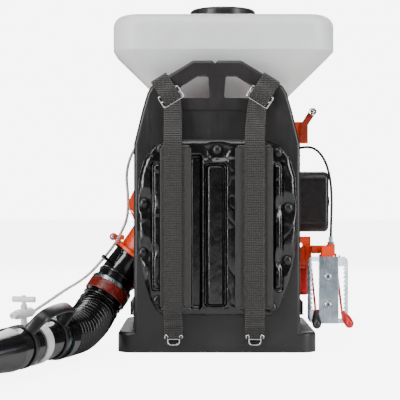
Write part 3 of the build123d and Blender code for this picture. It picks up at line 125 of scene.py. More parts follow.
def uneven(tree, shader, colour=None, gloss=None, reliefs=(), ends=(0.35, 0.65)):
    """Lets the colour wander between two shades and the roughness between two values, over a relief.

    colour is (pattern, shade, shade), gloss is (pattern, roughness, roughness), and each relief is
    (pattern, depth in metres, strength), one over another."""
    if colour:
        ramp = add(tree, "ShaderNodeValToRGB", None, {"Fac": colour[0]})
        for stop, at, shade in zip(ramp.color_ramp.elements, ends, colour[1:]):
            stop.position = at
            stop.color = linear(shade)
        tree.links.new(ramp.outputs["Color"], shader.inputs["Base Color"])
    if gloss:
        spread = add(tree, "ShaderNodeMapRange", None, {
            "Value": gloss[0], "From Min": 0.3, "From Max": 0.7, "To Min": gloss[1], "To Max": gloss[2]})
        tree.links.new(spread.outputs["Result"], shader.inputs["Roughness"])
    below = {}
    for height, depth, strength in reliefs:
        bump = add(tree, "ShaderNodeBump", None, {
            "Height": height, "Distance": depth, "Strength": strength, **below})
        below = {"Normal": bump.outputs["Normal"]}
    if below:
        tree.links.new(below["Normal"], shader.inputs["Normal"])


def moulded_polyethylene():
    """Blow-moulded HDPE: satin, faintly brown-black, with a soft orange peel and rubbed streaks."""
    material, tree, shader = shader_of("moulded_polyethylene", "#1F1D1D", 0.36)
    uneven(tree, shader, (pattern(tree, 0.09, 5), "#1A1919", "#252323"),
           (pattern(tree, 0.004, 4, (1, 1, 0.06)), 0.3, 0.44),
           [(pattern(tree, 0.0016, 2), 0.0002, 0.35), (pattern(tree, 0.05, 2), 0.004, 0.18)])
    return material


def quilted_vinyl():
    """PVC-coated cloth: black and glossy, so each crease catches the light; a fine leather grain."""
    material, tree, shader = shader_of("quilted_vinyl", "#050506", 0.2, Coat_Weight=0.35,
                                       Coat_Roughness=0.12)
    place = add(tree, "ShaderNodeTexCoord")
    grain = add(tree, "ShaderNodeTexVoronoi", {"feature": "SMOOTH_F1"}, {
        "Vector": place.outputs["Object"], "Scale": 1 / 0.0022, "Smoothness": 0.6})
    uneven(tree, shader, (pattern(tree, 0.05), "#040405", "#0A0A0B"),
           (pattern(tree, 0.02, 4), 0.15, 0.28),
           [(grain.outputs["Distance"], 0.0003, 0.25),
            (pattern(tree, 0.016, 4, (1, 1, 0.45)), 0.005, 0.35)])
    return material


def woven_strap(name, colour, light, pitch):
    """Polypropylene webbing: coarse weft ribs, drawn wider than the real 1.5 mm so that they show."""
    material, tree, shader = shader_of(name, colour, 0.72, Sheen_Weight=0.25, Sheen_Roughness=0.5)
    weft, warp = pattern(tree, pitch, ribs="Z"), pattern(tree, pitch * 0.9, ribs="X")
    crossed = add(tree, "ShaderNodeMath", {"operation": "MULTIPLY"}, {0: weft, 1: warp})
    uneven(tree, shader, (pattern(tree, 0.006, 4), colour, light), None,
           [(crossed.outputs[0], 0.0012, 0.9), (weft, 0.001, 0.6), (pattern(tree, 0.0012), 0.0004, 0.5)],
           ends=(0.25, 0.75))
    return material


def moulded_nylon():
    """Glass-filled nylon in safety orange: a low sheen over a fine spark-eroded grain."""
    material, tree, shader = shader_of("moulded_nylon", "#DC3C00", 0.34, Subsurface_Weight=0.08,
                                       Subsurface_Scale=0.004)
    uneven(tree, shader, (pattern(tree, 0.04, 4), "#D83600", "#E44400"),
           (pattern(tree, 0.012), 0.28, 0.42),
           [(pattern(tree, 0.0009, 2), 0.0001, 0.4), (pattern(tree, 0.03, 2), 0.002, 0.12)])
    return material


def gloss_plastic(name, dark, light, low, high, **constants):
    """Polished moulding: smooth, with faint flow marks that bend its highlights."""
    material, tree, shader = shader_of(name, dark, low, **constants)
    uneven(tree, shader, (pattern(tree, 0.03), dark, light), (pattern(tree, 0.008, 4), low, high),
           [(pattern(tree, 0.02, 2), 0.0015, 0.12), (pattern(tree, 0.0012, 2), 0.0001, 0.2)])
    return material


def zinc_plate():
    """Blue-passivated zinc on sheet steel: bluish, with cloudy spangle and faint rolling lines."""
    material, tree, shader = shader_of("zinc_plate", "#B4C0C8", 0.24, Metallic=1.0)
    uneven(tree, shader, (pattern(tree, 0.03, 5), "#8FA1AE", "#CAD3D8"),
           (pattern(tree, 0.004, 4, (1, 1, 0.15)), 0.16, 0.36),
           [(pattern(tree, 0.0012, 3, (1, 1, 0.1)), 0.0001, 0.25),
            (pattern(tree, 0.05, 2), 0.002, 0.12)],
           ends=(0.3, 0.7))
    return material


def metal(name, dark, light, low, high, grain, depth):
    """Bare or coated metal with an even grain of the given size."""
    material, tree, shader = shader_of(name, dark, low, Metallic=1.0)
    uneven(tree, shader, (pattern(tree, 0.01, 4), dark, light), (pattern(tree, 0.005, 4), low, high),
           [(pattern(tree, grain), depth, 0.5)])
    return material


def matt(name, dark, light, low, high, grain, depth):
    """A matt surface, such as rubber, powder coat or foam, with an even grain."""
    material, tree, shader = shader_of(name, dark, low)
    uneven(tree, shader, (pattern(tree, 0.012, 4), dark, light), (pattern(tree, 0.005, 4), low, high),
           [(pattern(tree, grain), depth, 0.6)])
    return material


def milky_polyethylene():
    """Natural HDPE: white and cloudy, light goes into it; a soft moulded skin."""
    material, tree, shader = shader_of(
        "milky_polyethylene", "#F8F6F2", 0.42, Subsurface_Weight=0.5, Subsurface_Scale=0.02,
        Subsurface_Radius=(1.0, 0.8, 0.7), Transmission_Weight=0.12, IOR=1.54)
    uneven(tree, shader, (pattern(tree, 0.08), "#F4F1EC", "#FCFBF9"), (pattern(tree, 0.02), 0.36, 0.5),
           [(pattern(tree, 0.002, 2), 0.0002, 0.3), (pattern(tree, 0.05, 2), 0.003, 0.12)])
    return material


def clear_vinyl():
    """Soft PVC tube: water-clear with a slight haze and cool tint."""
    material, tree, shader = shader_of("clear_vinyl", "#F2F4F0", 0.12, Transmission_Weight=0.8,
                                       IOR=1.5)
    uneven(tree, shader, None, (pattern(tree, 0.01), 0.08, 0.22),
           [(pattern(tree, 0.006, 2), 0.0005, 0.15)])
    return material


def ribbed(name, dark, light, pitch):
    """A sheath or cord with fine slanting ribs, pitch apart."""
    material, tree, shader = shader_of(name, dark, 0.4)
    uneven(tree, shader, (pattern(tree, 0.004), dark, light), None,
           [(pattern(tree, pitch, ribs="DIAGONAL"), 0.0002, 0.15)])
    return material


FINISH = {
    "frame_plastic": moulded_polyethylene(),
    "vinyl": quilted_vinyl(),
    "webbing": woven_strap("polypropylene_webbing", "#12100E", "#221E1B", 0.0048),
    "strap_cover": woven_strap("nylon_strap_cover", "#141210", "#221E1B", 0.0026),
    "orange": moulded_nylon(),
    # polished mouldings: a dark mirror, brightest along each edge and bend
    "gloss_black": gloss_plastic("polished_abs", "#070708", "#0F0F11", 0.08, 0.18),
    # as moulded: a broad dull highlight on brown-black
    "satin_black": gloss_plastic("moulded_abs", "#121111", "#1B1A1A", 0.26, 0.4),
    "hose": gloss_plastic("corrugated_pvc", "#060607", "#0C0C0D", 0.1, 0.2),
    "zinc": zinc_plate(),
    # polished wire and slides mirror the lights; turned steel is darker and softer
    "bright_steel": metal("polished_steel", "#C4C6C8", "#DCDDDE", 0.12, 0.24, 0.0008, 0.0001),
    "machined_steel": metal("turned_steel", "#7F8083", "#9B9C9E", 0.25, 0.38, 0.0008, 0.0001),
    # pressure-cast alloy: pale and grainy, with no clear reflection
    "cast_alloy": metal("die_cast_alloy", "#9A9B9D", "#B2B3B4", 0.42, 0.58, 0.0018, 0.0004),
    # dull coatings and soft parts: they only darken or lighten with their grain
    "powder_coat": matt("black_powder_coat", "#0E0E0F", "#181819", 0.45, 0.58, 0.0014, 0.0003),
    "rubber": matt("moulded_rubber", "#0E0E0E", "#171616", 0.62, 0.8, 0.0012, 0.0002),
    "foam": matt("open_foam", "#35342D", "#4C4A40", 0.9, 0.98, 0.0016, 0.0012),
    # dipped vinyl and enamel: strong reds under a soft shine
    "red_knob": gloss_plastic("red_vinyl_knob", "#B80C14", "#CC161C", 0.24, 0.36,
                              Subsurface_Weight=0.1, Subsurface_Scale=0.003),
    "enamel": gloss_plastic("red_brown_enamel", "#8C2A14", "#A1361C", 0.28, 0.42),
    "lever_red": gloss_plastic("red_enamel", "#C0181A", "#D3241F", 0.26, 0.4),
    "milky": milky_polyethylene(),
    "clear": clear_vinyl(),
    # thin red HDPE lets a little light into its walls
    "fuel_red": gloss_plastic("red_polyethylene", "#B80F0A", "#CC1A12", 0.26, 0.38,
                              Subsurface_Weight=0.3, Subsurface_Scale=0.006,
                              Transmission_Weight=0.1),
    "cable": ribbed("ribbed_cable_sheath", "#121212", "#242323", 0.0024),
    "rope": ribbed("braided_cord", "#151515", "#2A2928", 0.003),
    "red_band": gloss_plastic("red_brown_band", "#5A120B", "#741A10", 0.2, 0.32),
    "thread": matt("bonded_nylon_thread", "#37322E", "#4B453F", 0.45, 0.6, 0.0006, 0.0001),
    "binding": woven_strap("folded_edge_tape", "#1D1A18", "#2A2623", 0.0018),
}

CAD_FINISH = {
    "frame_plastic": ["pack_frame", "tank_lid", "fan_wheel"],
    "vinyl": ["back_pad"],
    "webbing": ["strap_webbing"],
    "strap_cover": ["shoulder_pads"],
    "orange": ["fan_case_front", "fan_case_rear", "gate_housing", "lever_arm"],
    "gloss_black": ["elbow", "hand_tube", "blow_nozzle"],
    "satin_black": [
        "pad_rivets", "hand_grip", "air_cleaner_cover", "air_cleaner_plate", "choke_lever",
        "starter_case", "starter_pulley", "starter_handle", "fuel_cap", "gate_lever_knob",
        "cylinder_shroud", "tank_strainer"],
    "hose": ["hose"],
    "zinc": [
        "lever_bracket", "bracket_screws", "damper_bolts", "case_screws", "cable_ferrule",
        "lever_pivot_pin", "hose_clamp_upper", "hose_clamp_lower", "spark_plug"],
    "bright_steel": ["strap_hardware"],
    "machined_steel": ["crankshaft", "crank_bearings", "throttle_slide"],
    "cast_alloy": ["crankcase", "cylinder", "piston", "carburettor", "flywheel"],
    "powder_coat": ["engine_cradle", "muffler"],
    "rubber": ["rubber_dampers"],
    "foam": ["filter_element"],
    "red_knob": ["throttle_lever_knob"],
    "enamel": ["gate_rocker"],
    "lever_red": ["gate_lever", "throttle_lever"],
    "milky": ["chemical_tank", "valve_body", "valve_tap"],
    "clear": ["liquid_tube_upper", "liquid_tube_lower"],
    "fuel_red": ["fuel_tank"],
    "cable": ["throttle_cable"],
    "rope": ["starter_rope"],
}
for finish, names in CAD_FINISH.items():
    for name in names:
        slots = NODES[name].data.materials
        slots.clear()
        slots.append(FINISH[finish])


# ---- mesh helpers -----------------------------------------------------------------------------
def piece(name, bm, finish, body, sharp=None):
    """Makes a shown object of a bmesh: doubles merged, faces outwards, smooth, riding on a body."""
    bmesh.ops.remove_doubles(bm, verts=bm.verts, dist=1e-6)
    bmesh.ops.recalc_face_normals(bm, faces=bm.faces)
    mesh = bpy.data.meshes.new(name)
    bm.to_mesh(mesh)
    bm.free()
    mesh.shade_smooth()
    if sharp:
        mesh.set_sharp_from_angle(angle=math.radians(sharp))
    mesh.materials.append(FINISH[finish])
    made = bpy.data.objects.new(name, mesh)
    bpy.context.scene.collection.objects.link(made)
    if body:
        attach(made, body)
    return made


def turned_to(at, axis):
    """The matrix that takes Z at the origin to axis at a point."""
    return Matrix.Translation(at) @ Vector(axis).to_track_quat("Z", "Y").to_matrix().to_4x4()


def lathe(bm, profile, at, axis, steps=40):
    """Spins a profile of (radius, height) about an axis. Its ends on the axis close it."""
    before = set(bm.verts)
    verts = [bm.verts.new((r, 0, h)) for r, h in profile]
    edges = [bm.edges.new(pair) for pair in zip(verts, verts[1:])]
    bmesh.ops.spin(bm, geom=verts + edges, cent=(0, 0, 0), axis=(0, 0, 1), angle=math.tau,
                   steps=steps, use_merge=True)
    made = [v for v in bm.verts if v not in before]
    bmesh.ops.transform(bm, matrix=turned_to(at, axis), verts=made)


def rounded_box(bm, low, high, radius, segments=3):
    """A box between two corners, with its edges rounded."""
    low, high = Vector(low), Vector(high)
    made = bmesh.ops.create_cube(bm, size=1)["verts"]
    bmesh.ops.scale(bm, vec=high - low, verts=made)
    bmesh.ops.translate(bm, vec=(low + high) / 2, verts=made)
    edges = list({e for v in made for e in v.link_edges})
    bmesh.ops.bevel(bm, geom=edges, offset=radius, segments=segments, profile=0.5,
                    affect="EDGES", material=-1)


def smooth_line(name, points, resolution=12):
    """Points along the NURBS spline that has these control points."""
    curve = bpy.data.curves.new(name, "CURVE")
    curve.dimensions = "3D"
    curve.resolution_u = resolution
    spline = curve.splines.new("NURBS")
    spline.points.add(len(points) - 1)
    for point, place in zip(spline.points, points):
        point.co = (*place, 1)
    spline.order_u = 3
    spline.use_endpoint_u = True
    holder = bpy.data.objects.new(name, curve)
    mesh = bpy.data.meshes.new_from_object(holder)
    line = [v.co.copy() for v in mesh.vertices]
    bpy.data.meshes.remove(mesh)
    bpy.data.objects.remove(holder)
    bpy.data.curves.remove(curve)
    return line


def evenly(line, step):
    """The line again, with its points about step apart."""
    lengths = [0.0]
    for a, b in zip(line, line[1:]):
        lengths.append(lengths[-1] + (b - a).length)
    count = max(2, math.ceil(lengths[-1] / step))
    out, i = [], 0
    for k in range(count + 1):
        target = lengths[-1] * k / count
        while i < len(lengths) - 2 and lengths[i + 1] < target:
            i += 1
        share = (target - lengths[i]) / max(lengths[i + 1] - lengths[i], 1e-9)
        out.append(line[i].lerp(line[i + 1], share))
    return out


def frames_along(line):
    """(point, side, side) at each point of a line, turned as little as possible from one to the next."""
    out = []
    along = (line[1] - line[0]).normalized()
    side = along.cross(UP if abs(along.z) < 0.9 else Vector((1, 0, 0))).normalized()
    for i, point in enumerate(line):
        after, before = line[min(i + 1, len(line) - 1)], line[max(i - 1, 0)]
        along = (after - before).normalized()
        side = (side - along * side.dot(along)).normalized()
        out.append((point, side, along.cross(side)))
    return out


def sweep(bm, places, section, count=24, closed_ends=True, open_row=False):
    """Extrudes a ring, or an open row, along (point, side, side) places. section(i, turn) gives the two
    offsets of what is at a turn from 0 to a full one. The rows of vertices come back."""
    if open_row:
        row = [bm.verts.new((k, 0, 0)) for k in range(count + 1)]
        loop = [bm.edges.new(pair) for pair in zip(row, row[1:])]
    else:
        row = bmesh.ops.create_circle(bm, segments=count, radius=1.0)["verts"]
        loop = list({e for v in row for e in v.link_edges})
    turns = [math.tau * k / count for k in range(len(row))]

    def set_row(verts, i):
        point, a, b = places[i]
        for vert, turn in zip(verts, turns):
            u, v = section(i, turn)
            vert.co = point + a * u + b * v

    set_row(row, 0)
    rows = [row]
    for i in range(1, len(places)):
        made = bmesh.ops.extrude_edge_only(bm, edges=loop)["geom"]
        fresh = {g for g in made if isinstance(g, bmesh.types.BMVert)}
        row = [next(e.other_vert(v) for e in v.link_edges if e.other_vert(v) in fresh) for v in row]
        loop = [g for g in made if isinstance(g, bmesh.types.BMEdge)
                and g.verts[0] in fresh and g.verts[1] in fresh]
        set_row(row, i)
        rows.append(row)
    if closed_ends:
        bm.faces.new(rows[0])
        bm.faces.new(row)
    return rows


def round_tube(bm, line, radius, around=16):
    """A round tube of one radius along a line."""
    sweep(bm, frames_along(line), lambda i, t: (radius * math.cos(t), radius * math.sin(t)), around)


def mm(*place):
    """A place given in millimetres."""
    return Vector(place) * MM


def squared(share, power):
    """A sine or cosine raised to a power below 1 with its sign kept: it makes a round section boxy."""
    return math.copysign(abs(share) ** power, share)


def eased(low, high, x):
    """0 below low, 1 above high, and a smooth climb between."""
    share = min(max((x - low) / (high - low), 0.0), 1.0)
    return share * share * (3 - 2 * share)


# ---- cable, liquid tubes and hose ---------------------------------------------------------------
def make_throttle_cable():
    """The sheathed cable from the bracket's ferrule up and over to the carburettor."""
    line = smooth_line("cable_route", [mm(*p) for p in (
        (239, -92, 224), (240, -91, 268), (242, -87, 316), (240, -74, 362), (230, -52, 402),
        (209, -24, 428), (177, 0, 426), (141, 16, 410), (102, 27, 394), (85, 32, 374), (82, 33, 357))])
    bm = bmesh.new()
    round_tube(bm, evenly(line, 0.004), 0.00275)
    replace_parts(piece("throttle_cable_sheath", bm, "cable", "machine"), "throttle_cable")


def make_liquid_tube(name, node, route):
    """One length of the clear tube that feeds the valve."""
    line = evenly(smooth_line(name + "_route", [mm(*p) for p in route]), 0.004)
    bm = bmesh.new()
    round_tube(bm, line, 0.003)
    tube = piece(name, bm, "clear", None)
    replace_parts(tube, node)
    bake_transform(tube)


def make_hose():
    """The corrugated hose: rings 14.5 mm apart, with a plain cuff at each end."""
    route = [mm(*p) for p in (
        (-220.11, -62.39, 133.75), (-235.6, -74.2, 109.6), (-251.07, -85.92, 85.46),
        (-261, -115, 66), (-269.97, -148.49, 57.73), (-280, -184, 48.5),
        (-291.87, -217.05, 48), (-302, -249, 48), (-311.82, -281.43, 48))]
    step, pitch, crest, valley, cuff = 0.0008, 0.0145, 0.0446, 0.0366, 0.016
    line = evenly(smooth_line("hose_route", route, 24), step)
    last = len(line) - 1

    def radius_at(i):
        inside = min(i, last - i) * step
        wave = 0.5 + 0.5 * math.cos(math.tau * i * step / pitch)
        ring = valley + (crest - valley) * wave ** 0.9
        plain = crest - 0.001
        return plain + (ring - plain) * eased(cuff, cuff + 0.004, inside)

    bm = bmesh.new()
    sweep(bm, frames_along(line),
          lambda i, t: (radius_at(i) * math.cos(t), radius_at(i) * math.sin(t)), 48, closed_ends=False)
    bmesh.ops.recalc_face_normals(bm, faces=bm.faces)
    bmesh.ops.solidify(bm, geom=bm.faces, thickness=0.0012)
    hose = piece("corrugated_hose", bm, "hose", None)
    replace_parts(hose, "hose")
    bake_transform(hose)


def make_hose_cuff():
    """The red-brown band under the upper clamp, and the bead on the elbow above it."""
    at, way = mm(-228.10, -68.46, 121.29), Vector((-0.49930, -0.37947, -0.77891))
    bm = bmesh.new()
    lathe(bm, [(0.0442, -0.006), (0.0462, -0.005), (0.0466, 0.0), (0.0462, 0.014), (0.0468, 0.017),
               (0.0455, 0.0185), (0.0442, 0.018), (0.0442, -0.006)], at, way, 64)
    piece("hose_cuff_band", bm, "red_band", "elbow_unit")
    bm = bmesh.new()
    lathe(bm, [(0.0398, -0.036), (0.0420, -0.035), (0.0428, -0.0325), (0.0420, -0.030),
               (0.0398, -0.029), (0.0398, -0.036)], at, way, 64)
    piece("elbow_bead", bm, "gloss_black", "elbow_unit")


def make_starter_rope():
    """The recoil cord behind the handle, straight through the place of the imported one."""
    low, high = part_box("starter_rope")
    y, z = (low.y + high.y) / 2, (low.z + high.z) / 2
    line = [Vector((low.x + (high.x - low.x) * k / 60, y, z)) for k in range(61)]
    bm = bmesh.new()
    round_tube(bm, line, (high.z - low.z) / 2, 12)
    rope = piece("recoil_cord", bm, "rope", None)
    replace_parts(rope, "starter_rope")
    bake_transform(rope)


# ---- back pad -----------------------------------------------------------------------------------
PAD_RIGHT = [(98, 437), (128, 424), (150, 398), (161, 362), (164, 310), (164, 250), (160, 200),
             (150, 150), (136, 108), (124, 86), (110, 76)]
PAD_OUTLINE = PAD_RIGHT + [(-x, z) for x, z in reversed(PAD_RIGHT)]
RIVETS = [(-115, 418), (0, 415), (123, 410), (-149, 307), (145, 297), (-151, 206), (143, 190),
          (-122, 108), (112, 94)]
DEEP_CHANNEL = (-54, -32, 92, 404)       # the two sides and two ends of each sunk or raised place
MIDDLE_CHANNEL = (-26.5, 18.5, 95, 388)
MIDDLE_BAR = (-20.5, 13.5, 99, 383)
RIGHT_CHANNEL = (44, 60, 92, 404)
SIDE_CHANNELS = ((-134, -110, 128, 390), (112, 134, 128, 390))
SIDE_BARS = ((-130, -114, 132, 386), (116, 130, 132, 386))
WELDED_PANEL = (-108, 110, 86, 398)


PAD_GRID = 1.5                           # millimetres between the vertices of the pad's skin
PAD_WIDE, PAD_TALL, PAD_MIDDLE_Z = 330, 364, 256     # a sheet that the outline is cut from
PIPING_INSET, PIPING_RADIUS = 3, 0.0023
STITCH = 4.6                             # from one stitch to the next, in millimetres


def outline_sides():
    """A point and the inward normal of each side of the pad's outline, in millimetres."""
    out = []
    for a, b in zip(PAD_OUTLINE, PAD_OUTLINE[1:] + PAD_OUTLINE[:1]):
        along = Vector((b[0] - a[0], b[1] - a[1])).normalized()
        out.append((Vector(a), Vector((along.y, -along.x))))
    return out


def within(x, z, place, corner, slope):
    """1 inside a rounded rectangle, 0 outside it, with a slope of the given width between."""
    x0, x1, z0, z1 = place
    dx = abs(x - (x0 + x1) / 2) - (x1 - x0) / 2 + corner
    dz = abs(z - (z0 + z1) / 2) - (z1 - z0) / 2 + corner
    outside = math.hypot(max(dx, 0), max(dz, 0)) + min(max(dx, dz), 0) - corner
    return 1 - eased(-slope, slope, outside)


def pad_height(x, z, sides):
    """How far the pad's skin stands off the panel at a place, in millimetres."""
    rim = min((Vector((x, z)) - at).dot(inward) for at, inward in sides)
    height = 13.5 + 4.5 * within(x, z, WELDED_PANEL, 14, 7)
    height *= math.sqrt(max(1 - (1 - min(max(rim, 0) / 15, 1)) ** 2, 0))
    deep = within(x, z, DEEP_CHANNEL, 6, 3.2)
    middle = within(x, z, MIDDLE_CHANNEL, 8, 2.2)
    height -= 13 * deep + 9 * middle + 7 * within(x, z, RIGHT_CHANNEL, 6, 3)
    height += 8.5 * within(x, z, MIDDLE_BAR, 6, 3.4) * (1 - 0.25 * ((x + 3.5) / 17) ** 2)
    for channel, bar in zip(SIDE_CHANNELS, SIDE_BARS):
        height -= 4.5 * within(x, z, channel, 6, 2.4)
        height += 6.5 * within(x, z, bar, 6, 3.6)
    roomy = eased(0, 20, rim) * (1 - 0.8 * middle) * (1 - deep)
    fold = noise.noise(Vector((x / 34, 3.1, z / 60))) + 0.4 * noise.noise(Vector((x / 14, 7.7, z / 30)))
    height += 1.7 * fold * roomy
    crease = 1 - min(abs(noise.noise(Vector((x / 26 + z / 60, 1.3, z / 40 - x / 50)))) * 6, 1)
    height -= 0.9 * crease * roomy
    for rx, rz in RIVETS:
        dx, dz = x - rx, z - rz
        away = math.hypot(dx, dz)
        if away < 60:
            turn = math.atan2(dx, -dz)
            gathers = (0.5 + 0.5 * math.cos(6 * turn + rx)) ** 2 * math.exp(-((away - 22) / 9) ** 2)
            height += 1.5 * gathers * (0.75 + 0.45 * math.cos(turn)) * eased(0, 10, rim)
            sunk = 1 - eased(10, 34, away)
            height += (min(height, 8.6) - height) * sunk
    return max(height, 1.0)


def make_back_pad():
    """A crowned pad with sunk channels, welded lines, gathers at its rivets, and a piped edge."""
    sides = outline_sides()
    bm = bmesh.new()
    bmesh.ops.create_grid(bm, x_segments=round(PAD_WIDE / PAD_GRID),
                          y_segments=round(PAD_TALL / PAD_GRID), size=0.5)
    bmesh.ops.scale(bm, vec=(PAD_WIDE * MM, PAD_TALL * MM, 1), verts=bm.verts)
    bmesh.ops.rotate(bm, cent=(0, 0, 0), matrix=Matrix.Rotation(math.radians(90), 3, "X"),
                     verts=bm.verts)
    bmesh.ops.translate(bm, vec=(0, PANEL_FACE - 0.001, PAD_MIDDLE_Z * MM), verts=bm.verts)
    for at, inward in sides:
        geom = list(bm.verts) + list(bm.edges) + list(bm.faces)
        bmesh.ops.bisect_plane(bm, geom=geom, plane_co=(at.x * MM, 0, at.y * MM),
                               plane_no=(-inward.x, 0, -inward.y), clear_outer=True, dist=1e-6)
    skin = list(bm.verts)
    rim = [e for e in bm.edges if e.is_boundary]
    backs = bmesh.ops.extrude_edge_only(bm, edges=rim)["geom"]
    back_verts = {g for g in backs if isinstance(g, bmesh.types.BMVert)}
    for vert in skin:
        vert.co.y = PANEL_FACE - pad_height(vert.co.x / MM, vert.co.z / MM, sides) * MM
    bmesh.ops.smooth_vert(bm, verts=[v for v in skin if not v.is_boundary], factor=0.5, use_axis_y=True)
    for vert in back_verts:
        vert.co.y = PANEL_FACE - 0.0003
    bmesh.ops.contextual_create(bm, geom=[g for g in backs if isinstance(g, bmesh.types.BMEdge)
                                          and g.is_boundary])
    pad = piece("back_cushion", bm, "vinyl", "machine")
    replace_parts(pad, "back_pad")

    corners = []
    middle = Vector((0, PAD_MIDDLE_Z))
    for corner in PAD_OUTLINE:
        place = Vector(corner)
        place += (middle - place).normalized() * PIPING_INSET
        corners.append(place)
    loop = []
    for a, b, c in zip(corners[-1:] + corners, corners, corners[1:] + corners[:1]):
        for share, other in ((0.16, a), (0.05, a), (0.05, c), (0.16, c), (0.5, c)):
            spot = b.lerp(other, share)
            loop.append(mm(spot.x, FACE - 4.5, spot.y))
    line = evenly(smooth_line("piping_route", loop + loop[:1]), 0.004)
    bm = bmesh.new()
    round_tube(bm, line, PIPING_RADIUS, 10)
    piece("back_cushion_piping", bm, "vinyl", "machine")


def make_pad_rivets():
    """Mushroom-headed plastic rivets that draw the pad down to the panel."""
    bm = bmesh.new()
    for x, z in RIVETS:
        lathe(bm, [(0, 0.0078), (0.0035, 0.0076), (0.0068, 0.0066), (0.0092, 0.0046), (0.0106, 0.0018),
                   (0.0108, 0.0), (0.0102, -0.0008), (0.004, -0.0008), (0.004, -0.004), (0, -0.004)],
              mm(x, FACE - 9.2, z), (0, -1, 0), 32)
    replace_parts(piece("pad_rivet_heads", bm, "satin_black", "machine"), "pad_rivets")


def stitch_row(bm, start, end, out, count, half_long=0.0013, half_thick=0.0004):
    """A row of thread dashes from start to end that lie on a face whose normal is out."""
    along = (end - start).normalized()
    side = Vector(out).cross(along)
    turn = Matrix((along, side, Vector(out))).transposed().to_4x4()
    for k in range(count):
        at = start.lerp(end, (k + 0.5) / count)
        stretch = Matrix.Diagonal((half_long, half_thick, half_thick, 1))
        bmesh.ops.create_icosphere(bm, subdivisions=1, radius=1,
                                   matrix=Matrix.Translation(at) @ turn @ stretch)


def make_pad_stitches():
    """The seams along the pad's top and bottom borders and beside its middle channel."""
    bm = bmesh.new()
    out = Vector((0, -1, 0))
    sides = outline_sides()

    def on_skin(x, z):
        return mm(x, FACE - pad_height(x, z, sides) - 0.1, z)

    def seam(points):
        for a, b in zip(points, points[1:]):
            stitch_row(bm, on_skin(*a), on_skin(*b), out, 1)

    for x, z0, z1 in ((27, 92, 402), (-29.2, 96, 402)):
        seam([(x, z0 + k * STITCH) for k in range(int((z1 - z0) / STITCH))])
    for x0, z, count in ((-96, 427, 43), (-58, 84, 28)):
        seam([(x0 + k * STITCH, z) for k in range(count)])
    piece("back_cushion_stitches", bm, "thread", "machine")


# ---- shoulder straps ----------------------------------------------------------------------------
SHOULDER_Z = (straps_low.z, straps_high.z)


def make_shoulder_pad(side):
    """A foam strap pad in a woven cover, bound along both edges with folded tape."""
    x0, x1 = PAD_X[side]
    z0, z1 = SHOULDER_Z
    thick = (straps_high.y - straps_low.y) / 2
    middle_y = (straps_high.y + straps_low.y) / 2
    wide = (x1 - x0) / 2 - 0.001
    rows = 120
    line = [Vector(((x0 + x1) / 2, middle_y, z0 + (z1 - z0) * k / rows)) for k in range(rows + 1)]
    places = [(p, Vector((1, 0, 0)), Vector((0, 1, 0))) for p in line]

    def end_round(i, reach):
        inside = min(i, rows - i) / rows * (z1 - z0)
        return math.sqrt(max(1 - (1 - min(inside / reach, 1)) ** 2, 0.0))

    def section(i, turn):
        swell = 1 + 0.07 * noise.noise(Vector((i / 9, 2.0, 0)))
        fat = thick * (0.3 + 0.7 * end_round(i, 0.014)) * swell
        half = wide * (0.88 + 0.12 * end_round(i, 0.02))
        u = half * squared(math.cos(turn), 0.5)
        crown = 0.82 + 0.14 * (1 - (u / half) ** 2)
        v = min(fat, thick) * squared(math.sin(turn), 0.8) * crown
        return u, v

    bm = bmesh.new()
    sweep(bm, places, section, 56)
    pad = piece(f"{side}_shoulder_pad", bm, "strap_cover", "machine")

    bm = bmesh.new()
    for x, way in ((x0, 1), (x1, -1)):
        edge = [(Vector((x + way * 0.0085, middle_y, p.z)), Vector((1, 0, 0)), Vector((0, 1, 0)))
                for p in line[2:-2]]
        sweep(bm, edge, lambda i, t: (
            0.0085 * squared(math.cos(t), 0.6),
            thick * 0.87 * squared(math.sin(t), 0.75)
            * (1 + 0.03 * noise.noise(Vector((i / 5, x * 90, 0))))), 28)
    piece(f"{side}_strap_binding", bm, "binding", "machine")

    bm = bmesh.new()
    out = Vector((0, -1, 0))
    front = middle_y - thick * 0.87
    for x, way in ((x0, 1), (x1, -1)):
        start = Vector((x + way * 0.0135, front - 0.0001, z0 + 0.014))
        stitch_row(bm, start, start + Vector((0, 0, z1 - z0 - 0.028)), out, 68)
    piece(f"{side}_strap_stitches", bm, "thread", "machine")
    return pad


def ribbon(bm, line, across_at, width, pitch=0.0048, rib=0.0005):
    """Webbing along a line: ribs across it, lips along its edges, and its flat place as a UV map."""
    places, reach = [], [0.0]
    for i, point in enumerate(line):
        after, before = line[min(i + 1, len(line) - 1)], line[max(i - 1, 0)]
        along = (after - before).normalized()
        across = across_at(i / (len(line) - 1))
        across = (across - along * across.dot(along)).normalized()
        places.append((point, across, along.cross(across)))
        if i:
            reach.append(reach[-1] + (point - line[i - 1]).length)

    def section(i, turn):
        share = turn / math.tau
        edge = abs(2 * share - 1)
        ripple = rib * math.cos(math.tau * reach[i] / pitch)
        return (share - 0.5) * width, ripple * (1 - edge ** 8) + 0.0003 * edge ** 10

    rows = sweep(bm, places, section, 14, closed_ends=False, open_row=True)
    flat = {vert: (k / 14 * width, reach[i]) for i, row in enumerate(rows) for k, vert in enumerate(row)}
    layer = bm.loops.layers.uv.new("flat")
    for face in bm.faces:
        for loop in face.loops:
            loop[layer].uv = flat[loop.vert]
    return reach[-1]


def webbing_piece(name, line, across_at, width):
    """A strap of webbing, given its thickness."""
    bm = bmesh.new()
    length = ribbon(bm, evenly(line, 0.0009), across_at, width)
    strap = piece(name, bm, "webbing", "machine")
    wall = strap.modifiers.new("thickness", "SOLIDIFY")
    wall.thickness = WEB_THICK
    wall.offset = 0
    return strap


